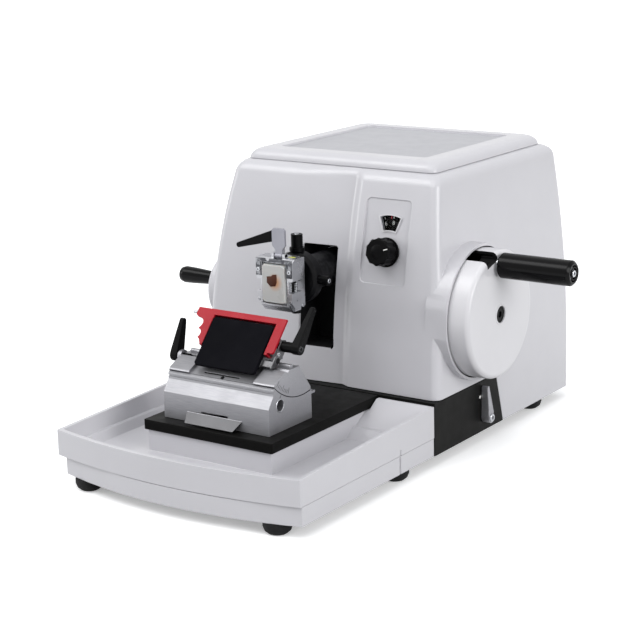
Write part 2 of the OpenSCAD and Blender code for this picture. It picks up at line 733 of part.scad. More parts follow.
module crank_roller() color(c_steel) difference() {
    bar_x(roller_r, yoke_x0 + yoke_t + 0.5, disc_x0 - 0.5, shaft_y, crank_z);
    bar_x(roller_r - 1.5 + run_gap, yoke_x0, disc_x0 + 1, shaft_y, crank_z);
}

spindle_r = 4;
grip_x0 = wheel_face + 2.5;
module grip_spindle() color(c_steel) {
    bar_x(spindle_r, wheel_face - 18, grip_x0 + grip_len - 6, grip_y, grip_z);
    bar_x(spindle_r + 4, wheel_face, grip_x0 - slide_gap, grip_y, grip_z);
    bar_x(spindle_r + 2.5, grip_x0 + grip_len - 7, grip_x0 + grip_len - 3, grip_y, grip_z);
}

module wheel_grip() color(c_black) translate([grip_x0, grip_y, grip_z]) rotate([0, 90, 0]) rotate_extrude()
    polygon([[spindle_r + run_gap, 0], [grip_r - 1.5, 0], [grip_r, 1.5], [grip_r, grip_len - 2.5],
        [grip_r - 2.5, grip_len], [spindle_r + 4, grip_len], [spindle_r + 4, grip_len - 8],
        [spindle_r + run_gap, grip_len - 8]]);

// Brake

brake_y = 95.5;
brake_z = 27;
brake_shaft_r = 5;
brake_hub_r = 5.5;
brake_len = 31;
brake_x0 = base_half + 0.5;
module brake_lever() color(c_alu) difference() {
    hull() {
        bar_x(brake_hub_r, brake_x0, brake_x0 + 9, brake_y, brake_z);
        bar_x(2.2, brake_x0, brake_x0 + 7, brake_y - 3, brake_z + brake_len);
    }
    bar_x(brake_shaft_r - 1.5, brake_x0 - 1, brake_x0 + 8, brake_y, brake_z);
}
// Shaft with the eccentric that lifts the push rod
cam_x = drum_x0 + drum_w / 2;
module brake_shaft() color(c_steel) {
    bar_x(brake_shaft_r, cam_x - 7, base_half + 0.2, brake_y, brake_z);
    bar_x(brake_shaft_r - 1.5, base_half, brake_x0 + 8, brake_y, brake_z);
    bar_x(brake_shaft_r + 2, cam_x - 5, cam_x + 5, brake_y, brake_z);
}
shoe_gap = 2;
module brake_shoe() color(c_iron) {
    rod_z0 = brake_z + brake_shaft_r + 2 + slide_gap;
    shoe_z = shaft_z - drum_r - shoe_gap;
    difference() {
        block([drum_x0 - 1.6, shaft_y - 11, shoe_z - 12], [drum_x0 + drum_w + 1.6, shaft_y + 11, shoe_z + 4]);
        bar_x(drum_r + shoe_gap, drum_x0 - 3, drum_x0 + drum_w + 3, shaft_y, shaft_z);
    }
    translate([cam_x, shaft_y + 4, rod_z0 + 12]) cylinder(r = 3.5, h = shoe_z - 12 - rod_z0 - 11);
    block([cam_x - 4, shaft_y, rod_z0], [cam_x + 4, brake_y + 4, rod_z0 + 13]);
}

// Vertical carriage

module vertical_slide() color(c_alu) difference() {
    block([head_x - slide_half, slide_y0, head_z - slide_h / 2], [head_x + slide_half, slide_y1, head_z + slide_h / 2]);
    for (s = [-1, 1]) translate([head_x + s * rod_off, shaft_y, head_z - slide_h]) cylinder(r = rod_r + run_gap, h = 2 * slide_h);
    bar_y(cylinder_r + run_gap, slide_y0 - 1, slide_y1 + 1, head_x, head_z);
}

yoke_y = crank_r + roller_r + 8;
module yoke() color(c_steel) difference() {
    along_x(yoke_x0, yoke_x0 + yoke_t) translate([shaft_y, crank_z]) round_rect(2 * yoke_y, 24, 4);
    hull() for (s = [-1, 1]) bar_x(roller_r + 0.2, yoke_x0 - 1, yoke_x0 + yoke_t + 1, shaft_y + s * (crank_r + 1), crank_z);
}

module shield_plate() color(c_black) difference() {
    block([slot_x - slot_half - 6, shield_y0, slot_z0 - 4], [slot_x + slot_half + 6, slide_y0, slot_z1 + stroke]);
    bar_y(cylinder_r + free_gap, shield_y0 - 1, slide_y0 + 1, head_x, head_z);
}

// Sealed gear case: takes the turn of the upright shaft to the feed screw
module feed_gearbox() color(c_iron) difference() {
    union() {
        block([spline_x - 12, spline_y - 13, gearbox_z0], [head_x + 20, slide_y1, gearbox_z0 + gearbox_h]);
        block([head_x - 17, slide_y1, head_z - 18], [head_x + 17, slide_y1 + 10, gearbox_z0 + gearbox_h]);
    }
    translate([spline_x, spline_y, gearbox_z0 - 1]) cylinder(r = spline_r + run_gap, h = gearbox_h + 2);
    for (s = [-1, 1]) translate([head_x + s * rod_off, shaft_y, gearbox_z0 - 1]) cylinder(r = rod_r + free_gap, h = gearbox_h + 2);
    bar_y(screw_r + run_gap, slide_y1 - 1, slide_y1 + 12, head_x, head_z);
}

// Feed

screw_r = 6;
cylinder_y1 = slide_y1 - 14;
module specimen_cylinder() color(c_black) difference() {
    bar_y(cylinder_r, disc_y1, cylinder_y1, head_x, head_z);
    bar_y(screw_r + run_gap, 30, cylinder_y1 + 1, head_x, head_z);
}

module head_disc() color(c_black) difference() {
    union() {
        bar_y(disc_r, disc_y0 + 3, disc_y1, head_x, head_z);
        translate([head_x, disc_y0, head_z]) rotate([-90, 0, 0]) cylinder(r1 = disc_r - 3, r2 = disc_r, h = 3);
        // Ears that hold the gimbal's level pins
        for (s = [-1, 1]) block([head_x + s * ear_off - ear_t / 2, gimbal_y - 2.2, head_z - 3.5],
                [head_x + s * ear_off + ear_t / 2, disc_y0 + 1, head_z + 3.5]);
        // Spring plunger opposite the tilt screw
        translate([head_x - 1.5, knob_axis_y - 2, head_z - disc_r - 10]) cylinder(r = 4.5, h = 13);
    }
    bar_x(gimbal_pin + run_gap, head_x - ear_off - 3, head_x + ear_off + 3, gimbal_y, head_z);
    // Bores for the two adjusting screws
    translate([head_x, knob_axis_y, head_z + disc_r - 10]) cylinder(r = 3 + run_gap, h = 20);
    bar_x(3 + run_gap, head_x + disc_r - 10, head_x + disc_r + 5, knob_axis_y, head_z);
}
knob_axis_y = (disc_y0 + disc_y1) / 2 + 0.5;

module feed_screw() color(c_steel) {
    bar_y(screw_r, 44, ratchet_y0 + ratchet_t + 4, head_x, head_z);
}
ratchet_y0 = slide_y1 + 24;
ratchet_t = 6;
ratchet_r = 19;
ratchet_teeth = 36;
module ratchet_wheel() color(c_steel) difference() {
    along_y(ratchet_y0, ratchet_y0 + ratchet_t) translate([head_x, head_z])
        polygon([for (i = [0:ratchet_teeth - 1], k = [0, 1]) let (a = 360 * i / ratchet_teeth + (k == 0 ? 0 : 1.5), r = ratchet_r - (k == 0 ? 0 : 1.8)) r * [sin(a), cos(a)]]);
    bar_y(screw_r, ratchet_y0 - 1, ratchet_y0 + ratchet_t + 1, head_x, head_z);
}

// Arm that swings about the screw and carries the pawl over the ratchet
module feed_pawl() color(c_iron) {
    arm_y0 = slide_y1 + 12;
    difference() {
        hull() {
            bar_y(screw_r + 5, arm_y0, arm_y0 + 6, head_x, head_z);
            bar_y(4, arm_y0, arm_y0 + 6, head_x, head_z + ratchet_r + 6);
        }
        bar_y(screw_r + run_gap, arm_y0 - 1, arm_y0 + 7, head_x, head_z);
    }
    bar_y(3, arm_y0 + 5, ratchet_y0 + ratchet_t, head_x, head_z + ratchet_r + 6);
    along_y(ratchet_y0, ratchet_y0 + ratchet_t) translate([head_x, head_z])
        polygon([[-2, ratchet_r + 6], [2.5, ratchet_r + 6], [1.5, ratchet_r + 0.6]]);
}

module spline_shaft() color(c_steel)
    translate([spline_x, spline_y, coarse_z - 4]) cylinder(r = spline_r, h = column_top - coarse_z + 3);

// Coarse feed

coarse_shaft_r = 6;
coarse_hub_r = 12;
coarse_x1 = -coarse_face;
coarse_w = 18;
module coarse_wheel() color(c_white) difference() {
    translate([coarse_x1, coarse_y, coarse_z]) rotate([0, 90, 0]) rotate_extrude($fn = 72)
        polygon([[0, 0], [coarse_r - 4, 0], [coarse_r - 1.2, 1.2], [coarse_r, 4], [coarse_r, coarse_w],
            [coarse_r - 5, coarse_w], [coarse_r - 5, 6], [coarse_hub_r, 6], [coarse_hub_r, coarse_w], [0, coarse_w]]);
    bar_x(coarse_shaft_r, coarse_x1 + 3, coarse_x1 + coarse_w + 1, coarse_y, coarse_z);
    bar_x(3, coarse_x1 - 1, coarse_x1 + 7, coarse_grip_y, coarse_grip_z);
}
coarse_grip_y = coarse_y - 18;
coarse_grip_z = coarse_z + 11;
module coarse_shaft() color(c_steel) {
    bar_x(coarse_shaft_r, coarse_x1 + 3, spline_x - 14, coarse_y, coarse_z);
    // Spindle of the small grip, with a head that keeps the grip on
    bar_x(3, coarse_x1 - coarse_grip_len, coarse_x1 + 6, coarse_grip_y, coarse_grip_z);
    bar_x(5, coarse_x1 - coarse_grip_len, coarse_x1 - coarse_grip_len + 2.4, coarse_grip_y, coarse_grip_z);
}
module coarse_grip() color(c_black) translate([coarse_x1 - slide_gap, coarse_grip_y, coarse_grip_z]) rotate([0, -90, 0])
    rotate_extrude() polygon([[3 + run_gap, 0], [coarse_grip_r - 2.2, 0], [coarse_grip_r - 0.4, coarse_grip_len * 0.6],
        [coarse_grip_r, coarse_grip_len - 6], [coarse_grip_r - 1.2, coarse_grip_len - 1.5],
        [coarse_grip_r - 3, coarse_grip_len], [5.4, coarse_grip_len], [5.4, coarse_grip_len - 3],
        [3 + run_gap, coarse_grip_len - 3]]);

// Gear case below the carriage's path: turns the coarse shaft's drive upright
module coarse_gearbox() color(c_iron) difference() {
    union() {
        block([spline_x - 22, coarse_y - 15, coarse_z - 15], [spline_x + 9, spline_y + 13, coarse_z + 12]);
        block([spline_x - 22, coarse_y - 6, floor_z1], [spline_x - 6, spline_y + 10, coarse_z - 14]);
        block([spline_x - 28, coarse_y - 15, floor_z1], [spline_x + 2, spline_y + 22, floor_z1 + 8]);
    }
    bar_x(coarse_shaft_r + run_gap, spline_x - 30, spline_x - 12, coarse_y, coarse_z);
    translate([spline_x, spline_y, coarse_z - 5]) cylinder(r = spline_r + run_gap, h = 40);
}

// Section thickness setting

dial_shaft_r = 4;
dial_n = -panel_d - pad_t - 3;
knob_lobes = 10;
module thickness_knob() color(c_black) on_panel(knob_x, knob_up) difference() {
    translate([0, 0, 0.8]) {
        cylinder(r = knob_r - 2, h = 5);
        translate([0, 0, 3]) cylinder(r = knob_r, h = knob_len - 4.5);
        translate([0, 0, knob_len - 1.5 - eps]) cylinder(r1 = knob_r, r2 = knob_r - 1.5, h = 1.5);
    }
    for (i = [0:knob_lobes - 1]) rotate([0, 0, 360 * i / knob_lobes])
        translate([knob_r + 5.4, 0, 5]) cylinder(r = 6.3, h = knob_len);
    cylinder(r = dial_shaft_r, h = 8);
}

module thickness_dial() color(c_black) on_panel(knob_x, knob_up) {
    translate([0, 0, -34]) cylinder(r = dial_shaft_r, h = 42);
    translate([0, 0, dial_n - 1.5]) cylinder(r = dial_r, h = 2);
    // Cam that sets how far the pawl drives
    translate([3, 0, -30]) cylinder(r = 13, h = 8);
}

module dial_window() color([0.75, 0.8, 0.85, 0.4]) on_panel(knob_x, knob_up)
    translate([0, 0, -panel_d - 2.4]) linear_extrude(1.4) window_outline(-0.12);

// Tilting head

gimbal_y = disc_y0 - 6;
gimbal_t = 5;
ring_r = 9;
ring_in = 5.6;
ear_off = 11.3;
ear_t = 2.4;
gimbal_pin = 1.5;
pin_r = 2;
module gimbal_ring() color(c_steel) {
    difference() {
        bar_y(ring_r, gimbal_y - gimbal_t / 2, gimbal_y + gimbal_t / 2, head_x, head_z);
        bar_y(ring_in, gimbal_y - gimbal_t, gimbal_y + gimbal_t, head_x, head_z);
        translate([head_x, gimbal_y, head_z - 12]) cylinder(r = gimbal_pin + run_gap, h = 24);
    }
    for (s = [-1, 1]) bar_x(gimbal_pin, head_x + s * 10.4 - 2.1, head_x + s * 10.4 + 2.1, gimbal_y, head_z);
}

clamp_y1 = gimbal_y - gimbal_t / 2 - 3.2;
clamp_y0 = clamp_y1 - clamp_t;
clamp_z0 = head_z - 27;
clamp_z1 = clamp_z0 + clamp_h;
jaw_y1 = clamp_y1 - 3;
jaw_h = 22;
pocket_d = 8;
cassette_z0 = clamp_z0 + 8;
module clamp_body() color(c_steel) difference() {
    union() {
        along_x(head_x - clamp_half, head_x + clamp_half) polygon([[clamp_y0, clamp_z0 + 6], [clamp_y0 + 6, clamp_z0],
            [clamp_y1, clamp_z0], [clamp_y1, clamp_z1], [clamp_y0 + 4, clamp_z1], [clamp_y0, clamp_z1 - 3]]);
        // Wide upper jaw, and the feet of the lower jaw
        along_x(head_x - jaw_half, head_x + jaw_half) polygon([[clamp_y0, clamp_z1 - jaw_h], [jaw_y1, clamp_z1 - jaw_h],
            [jaw_y1, clamp_z1], [clamp_y0 + 4, clamp_z1], [clamp_y0, clamp_z1 - 3]]);
        along_y(clamp_y0, jaw_y1) polygon([for (p = [[-jaw_half + 1, 14], [-jaw_half + 1, 8], [-clamp_half, 0.5],
            [clamp_half, 0.5], [jaw_half - 1, 8], [jaw_half - 1, 14]]) [head_x + p[0], clamp_z0 + 6 + p[1]]]);
        // Hub inside the gimbal, on upright pins
        bar_y(ring_in - 1, clamp_y1 - eps, gimbal_y + gimbal_t / 2 - 0.5, head_x, head_z);
        for (s = [-1, 1]) translate([head_x, gimbal_y, head_z + s * 6.4 - 2.2]) cylinder(r = gimbal_pin, h = 4.4);
        // Side cheeks reach back beside the gimbal
        for (s = [-1, 1]) block([head_x + s * 15.05 - 1.45, clamp_y1 - 3, clamp_z0 + 3],
            [head_x + s * 15.05 + 1.45, gimbal_y + 1.4, clamp_z1 - 2]);
        // Post for the lock lever
        block([lock_x - 5, clamp_y1 - 5, clamp_z1 - eps], [lock_x + 5, clamp_y1, lock_z + 5]);
        // Ears for the release lever
        for (s = [-1, 1]) block([lever_x + s * 6.5 - 1.5, lever_y - 2.5, clamp_z1 - 3.1], [lever_x + s * 6.5 + 1.5, lever_y + 2.5, lever_z0 + 2.5]);
    }
    // Pocket for the cassette, open at the front
    block([head_x - cassette_w / 2 - slide_gap, clamp_y0 - 1, cassette_z0 - slide_gap],
        [head_x + cassette_w / 2 + slide_gap, clamp_y0 + pocket_d, cassette_z0 + cassette_h + slide_gap]);
    // Finger cut-outs on both sides
    for (s = [-1, 1]) bar_y(6, clamp_y0 - 1, jaw_y1 + 1, head_x + s * (jaw_half + 1), head_z - 1);
    bar_y(3 + run_gap, clamp_y1 - 6, clamp_y1 + 1, lock_x, lock_z);
    bar_x(pin_r + run_gap, lever_x - 9, lever_x + 9, lever_y, lever_z0);
    // Recess that the lever's foot swings in
    block([lever_x - 5, lever_y - 3.6, clamp_z1 - 2.6], [lever_x + 5, lever_y + 3.6, clamp_z1 + 1]);
}
module cassette() color([0.9, 0.9, 0.88])
    block([head_x - cassette_w / 2, clamp_y0 + 2, cassette_z0], [head_x + cassette_w / 2, clamp_y0 + pocket_d, cassette_z0 + cassette_h]);
wax_in = 0.5;
wax_t = 4.5;
module wax_block() color([0.95, 0.93, 0.88]) translate([head_x, clamp_y0 + 2, cassette_z0 + cassette_h / 2]) rotate([90, 0, 0]) hull() {
    linear_extrude(eps) round_rect(cassette_w - 2 * wax_in, cassette_h - 2 * wax_in, 1.5);
    translate([0, 0, wax_t]) linear_extrude(eps) round_rect(cassette_w - 2 * wax_in - 2, cassette_h - 2 * wax_in - 2.5, 3);
}

// Release lever on top of the clamp, hinged between its ears
lever_w = 15;
lever_x = head_x + 2.4;
lever_y = clamp_y0 + 6;
lever_z0 = clamp_z1 + 1.6;
lever_h = 27;
module clamp_lever() color(c_steel) {
    along_y(lever_y - 1.5, lever_y + 1.5) polygon([for (p = [[-4, 0], [4, 0], [4, 6], [lever_w / 2, 10],
        [lever_w / 2, lever_h - 2], [lever_w / 2 - 2, lever_h], [2 - lever_w / 2, lever_h], [-lever_w / 2, lever_h - 2],
        [-lever_w / 2, 10], [-4, 6]]) [lever_x + p[0], lever_z0 + p[1]]]);
    bar_x(pin_r + 0.4, lever_x - 4, lever_x + 4, lever_y, lever_z0);
    bar_x(pin_r, lever_x - 8, lever_x + 8, lever_y, lever_z0);
}

// Clamping arms: a hub with a pin, and a tapered arm that leans outwards by the given angle
module clamping_arm(len, hub_r, hub_len, pin_len, lean) {
    translate([0, 0, -pin_len]) cylinder(r = 3, h = pin_len + 1);
    cylinder(r = hub_r - 0.8, h = hub_len);
    hull() {
        translate([0, 0, hub_len - 8]) cylinder(r = hub_r, h = 8, $fn = 24);
        translate([0, len, hub_len - 4 + len * tan(lean)]) cylinder(r = hub_r * 0.5, h = 4, $fn = 16);
    }
}

lock_x = head_x - 6;
lock_z = clamp_z1 + 20;
lock_len = 46.5;
lock_angle = 107;
module lock_lever() color(c_black) translate([lock_x, clamp_y1 - 5 - slide_gap, lock_z])
    rotate([90, 0, 0]) rotate([0, 0, lock_angle]) {
        translate([0, 0, -4.5]) cylinder(r = 3, h = 6);
        hull() {
            cylinder(r = 5.6, h = 5, $fn = 24);
            translate([0, lock_len, 0.5]) cylinder(r = 2.6, h = 3.6, $fn = 16);
        }
    }

module tilt_knob() color(c_black) translate([head_x, knob_axis_y, head_z + disc_r]) {
    translate([0, 0, -8]) cylinder(r = 3, h = 9);
    translate([0, 0, slide_gap]) cylinder(r = 7.5, h = 3.5);
    translate([0, 0, 3]) cylinder(r = 5.8, h = 14);
}
module swivel_knob() color(c_black) translate([head_x + disc_r, knob_axis_y, head_z]) rotate([0, 90, 0]) {
    translate([0, 0, -8]) cylinder(r = 3, h = 9);
    translate([0, 0, slide_gap]) cylinder(r = 4.8, h = 11);
}

// Knife holder

holder_x1 = holder_x0 + 2 * holder_half;
holder_rear = -holder_front + holder_d;
holder_z0 = plate_z1 + slide_gap;
socket_r = 5.3;
socket_d = 20;
module holder_base() color(c_alu) difference() {
    union() {
        along_x(holder_x0, holder_x1) polygon([[-holder_front, holder_z0], [-holder_front, 90],
            [-holder_front + 8, 101], [-holder_front + 8, 106.5], [-holder_front + 12, 109], [holder_rear - 8, 109],
            [holder_rear, 96], [holder_rear, holder_z0]]);
        // Tab of the clamp at the rear
        block([holder_x1 - 18, holder_rear - 1, 88], [holder_x1 - 0.5, holder_rear + 7, 90.5]);
        // Bent lip on the front face
        intersection() {
            along_x(knife_x - 34, knife_x + 31) polygon([[-holder_front + 1, 74.5], [-holder_front + 1, 72.4],
                [-holder_front - 8.5, 65.2], [-holder_front - 9.5, 66.4], [-holder_front, 74.5]]);
            along_y(-holder_front - 12, -holder_front + 2) polygon([for (p = [[-34, 75], [31, 75], [25, 64], [-29, 64]]) [knife_x + p[0], p[1]]]);
        }
    }
    // Cradle about the knife edge
    bar_x(cradle_r, holder_x0 - 1, holder_x1 + 1, -edge_y, edge_z);
    // Groove along the front shoulder, and the slot above the lip
    block([holder_x0 - 1, -holder_front + 7, 103.2], [holder_x1 + 1, -holder_front + 9.2, 104.6]);
    block([knife_x - 17, -holder_front - 1, 75], [knife_x + 14, -holder_front + 3, 76.6]);
    // Blind socket for a clamping key, and the bolt hole of the T-nut
    bar_x(socket_r, holder_x1 - socket_d, holder_x1 + 1, -holder_front + 18, 90);
    translate([knife_x, tnut_y, holder_z0 - 1]) cylinder(r = 4, h = 12);
}

tnut_y = -holder_front + 34;
module holder_tnut() color(c_steel) {
    translate([knife_x, 0, plate_z1]) along_y(tnut_y - 20, tnut_y + 20) difference() {
        tslot_profile(0);
        translate([-20, -0.3]) square([40, 9]);
    }
    translate([knife_x, tnut_y, plate_z1 - 2]) cylinder(r = 4, h = 12);
}

boss_y = -130;
boss_z = 117;
rod_y = -122;
rod_z = segment_top + 1.2;
guide_r = 2.4;
module holder_segment() color(c_alu) difference() {
    union() {
        intersection() {
            bar_x(cradle_r - slide_gap, holder_x0, holder_x1, -edge_y, edge_z);
            along_x(holder_x0, holder_x1) polygon([[-holder_front + 7, 107], [-131, segment_top - 3], [-128, segment_top],
                [-112, segment_top], [holder_rear - 1, 96], [holder_rear - 1, 80], [-holder_front + 7, 80]]);
        }
        // Raised ends of the front plate
        intersection() {
            bar_x(cradle_r - slide_gap, holder_x0, holder_x1, -edge_y, edge_z);
            for (x = [holder_x0, holder_x1 - 24]) along_x(x, x + 24) polygon([[-153.5, 108.6], [-151, 111.6],
                [-134, 119.7], [-130, 117.6], [-130, 112], [-147, 109]]);
        }
        bar_x(6, holder_x0 - 3, holder_x0 + 1, boss_y, boss_z);
        bar_x(guide_r, holder_x0 + 4, holder_x1 - 2, rod_y, rod_z);
    }
    // Narrow slot and a set screw's hole between the raised ends
    block([knife_x - 22.5, -147.6, 108.5], [knife_x + 18, -146.1, 122]);
    translate([knife_x + 0.6, -152.3, 102]) cylinder(r = 2, h = 12);
    bar_x(3 + run_gap, holder_x0 - 4, holder_x0 + 16, boss_y, boss_z);
}

// Places on the knife's slope, measured from the edge: along the slope, and off its face
guard_pivot = [-28, -3];
blade_axis = [-17.5, -4.5];
function slope_y(u, n) = -edge_y + u * cos(blade_slope) - n * sin(blade_slope);
function slope_z(u, n) = edge_z + blade_lift + u * sin(blade_slope) + n * cos(blade_slope);

// A prism along X whose outline is given on the knife's slope
module slope_prism(x0, x1, outline) along_x(knife_x + x0, knife_x + x1)
    polygon([for (p = outline) [slope_y(p[0], p[1]), slope_z(p[0], p[1])]]);

cheek_x = guard_right + 0.4;
cheek_t = 1.3;

// Wedge that carries the blade, and slides sideways on the segment
module blade_carrier() color(c_steel) difference() {
    union() {
        along_x(knife_x - press_half, knife_x + press_half) polygon([[slope_y(-1, -0.3), slope_z(-1, -0.3)],
            [slope_y(-43, -0.3), slope_z(-43, -0.3)], [slope_y(-43, -0.3) + 1, segment_top + slide_gap],
            [-edge_y + 8, segment_top + slide_gap], [-edge_y + 8, 136], [slope_y(-1, -3), slope_z(-1, -3)]]);
        // Cheek outside the guard that steadies the blade lever's pin, and its foot
        slope_prism(cheek_x, cheek_x + cheek_t, [[-43, -0.4], [-43, -2.2], [-38, -7.8], [-24, -10.5], [-13, -10.5],
            [-10.5, -5], [-13.5, 0.6], [-22, 0.6], [-30, -0.4]]);
        slope_prism(press_half - 0.5, cheek_x + 0.5, [[-42, -0.4], [-42, -3.4], [-37, -6.5], [-36.2, -6.5], [-36.2, -0.4]]);
        // Stub pins for the guard
        bar_x(1.8, knife_x - press_half - 6, knife_x + press_half + 6, slope_y(guard_pivot[0], guard_pivot[1]),
            slope_z(guard_pivot[0], guard_pivot[1]));
    }
    bar_x(guide_r + slide_gap, holder_x0, holder_x1, rod_y, rod_z);
    bar_x(3 + run_gap, knife_x + press_half - 20, knife_x + cheek_x + 3, slope_y(blade_axis[0], blade_axis[1]),
        slope_z(blade_axis[0], blade_axis[1]));
}
module blade() color(c_steel) on_slope() translate([-press_half - 5, -8, -0.3]) cube([2 * press_half + 10, 8, 0.3]);
module pressure_plate() color(c_black) on_slope() translate([0, -press_h / 2 - 2, slide_gap]) linear_extrude(4)
    round_rect(2 * press_half, press_h, 2.5);
module knife_guard() color(c_red) {
    on_slope() difference() {
        union() {
            translate([0, 0, 1]) linear_extrude(2.5) polygon(concat([[-guard_left, 6.5], [-guard_left, -1.5]],
                // Finger notches down the left arm
                [[-55, -3.4], [-49.5, -4.6], [-46.4, -7], [-45.6, -10], [-46.6, -13], [-48.4, -15.5], [-45, -17],
                [-43.4, -19.5], [-43.6, -22.6], [-45, -25], [-42, -27], [-39.6, -31]],
                [[-press_half - 1.3, -31], [-press_half - 1.3, 0.4], [press_half + 1.3, 0.4], [press_half + 1.3, -30],
                [guard_right - 1.5, -30], [guard_right, -28], [guard_right, 6.5]]));
            // Finger pin at the left end
            translate([-guard_left - 3.4, 1.2, 2.25]) rotate([0, 90, 0]) cylinder(r = 1.2, h = 8);
            // Knuckles that turn on the stub pins
            for (s = [-1, 1]) hull() {
                translate([s * (press_half + 3) - 1.6, guard_pivot[0], guard_pivot[1]]) rotate([0, 90, 0]) cylinder(r = 4, h = 3.2);
                translate([s * (press_half + 3) - 1.6, guard_pivot[0] - 4, 2]) cube([3.2, 8, 1.4]);
            }
        }
        translate([-60, guard_pivot[0], guard_pivot[1]]) rotate([0, 90, 0]) cylinder(r = 1.8 + run_gap, h = 120);
    }
}

module lateral_lever() color(c_black) translate([holder_x0 - 3 - slide_gap, boss_y, boss_z])
    rotate([0, -90, 0]) rotate([0, 0, -68]) clamping_arm(33, 6, 9, 12, -2);
module blade_lever() color(c_black) translate([knife_x + guard_right + 2, slope_y(blade_axis[0], blade_axis[1]),
    slope_z(blade_axis[0], blade_axis[1])]) rotate([0, 90, 0]) rotate([0, 0, 59.5]) clamping_arm(38, 5.8, 20, 26, 4);

base_casting();
floor_plate();
front_base();
pedestal();
knife_plate();
feet();
housing_shell();
top_cover();
slot_liner();
column();
guide_rods();
bearing_block();
main_bearings();
coarse_gearbox();
dial_window();
waste_tray();
brake_lever();
brake_shaft();
brake_shoe();
handwheel();
hub_cap();
main_shaft();
crank_disc();
crank_roller();
grip_spindle();
wheel_grip();
vertical_slide();
yoke();
shield_plate();
feed_gearbox();
specimen_cylinder();
head_disc();
feed_screw();
ratchet_wheel();
feed_pawl();
spline_shaft();
gimbal_ring();
clamp_body();
cassette();
wax_block();
clamp_lever();
lock_lever();
tilt_knob();
swivel_knob();
coarse_wheel();
coarse_shaft();
coarse_grip();
thickness_knob();
thickness_dial();
holder_tnut();
holder_base();
holder_segment();
blade_carrier();
pressure_plate();
blade();
knife_guard();
lateral_lever();
blade_lever();
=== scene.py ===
import json
import math

import bmesh
import bpy
from mathutils import Matrix, Vector


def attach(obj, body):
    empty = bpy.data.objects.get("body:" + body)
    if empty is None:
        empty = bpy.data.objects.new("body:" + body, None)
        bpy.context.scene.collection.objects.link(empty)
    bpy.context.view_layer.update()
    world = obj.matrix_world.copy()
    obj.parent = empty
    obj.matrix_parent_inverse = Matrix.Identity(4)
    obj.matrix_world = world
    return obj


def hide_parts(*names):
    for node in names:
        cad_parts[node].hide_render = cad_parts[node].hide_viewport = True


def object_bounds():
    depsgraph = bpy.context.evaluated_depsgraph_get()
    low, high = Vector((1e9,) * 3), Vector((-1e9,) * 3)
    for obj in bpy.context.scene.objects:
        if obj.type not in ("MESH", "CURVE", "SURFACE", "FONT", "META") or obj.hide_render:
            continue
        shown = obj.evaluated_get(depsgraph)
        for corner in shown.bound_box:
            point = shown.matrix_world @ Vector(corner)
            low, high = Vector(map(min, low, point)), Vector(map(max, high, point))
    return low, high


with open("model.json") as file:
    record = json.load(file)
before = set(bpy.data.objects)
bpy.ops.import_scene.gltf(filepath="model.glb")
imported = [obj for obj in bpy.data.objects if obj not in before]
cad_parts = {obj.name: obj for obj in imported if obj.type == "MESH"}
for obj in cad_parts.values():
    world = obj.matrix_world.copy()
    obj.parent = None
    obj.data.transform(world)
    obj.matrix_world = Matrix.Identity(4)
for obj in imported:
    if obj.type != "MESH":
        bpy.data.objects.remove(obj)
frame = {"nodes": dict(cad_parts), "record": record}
first_low, first_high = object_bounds()

MM = 0.001
record = frame["record"]
SLOT_OF = {part["node"]: part["material_slot"] for part in record["subparts"]}
BODY_OF = {node: body for body, nodes in record["behaviour"]["bodies"].items() for node in nodes}
JOINTS = {joint["name"]: joint for joint in record["behaviour"]["joints"]}


def pivot(joint):
    """The place in mm that a hinge turns about."""
    return [round(value / MM, 2) for value in JOINTS[joint]["pos_m"]]


def linear(red, green, blue):
    """The linear colour of three screen values from 0 to 255."""
    values = [value / 255 for value in (red, green, blue)]
    return tuple(v / 12.92 if v <= 0.04045 else ((v + 0.055) / 1.055) ** 2.4 for v in values)


# Materials


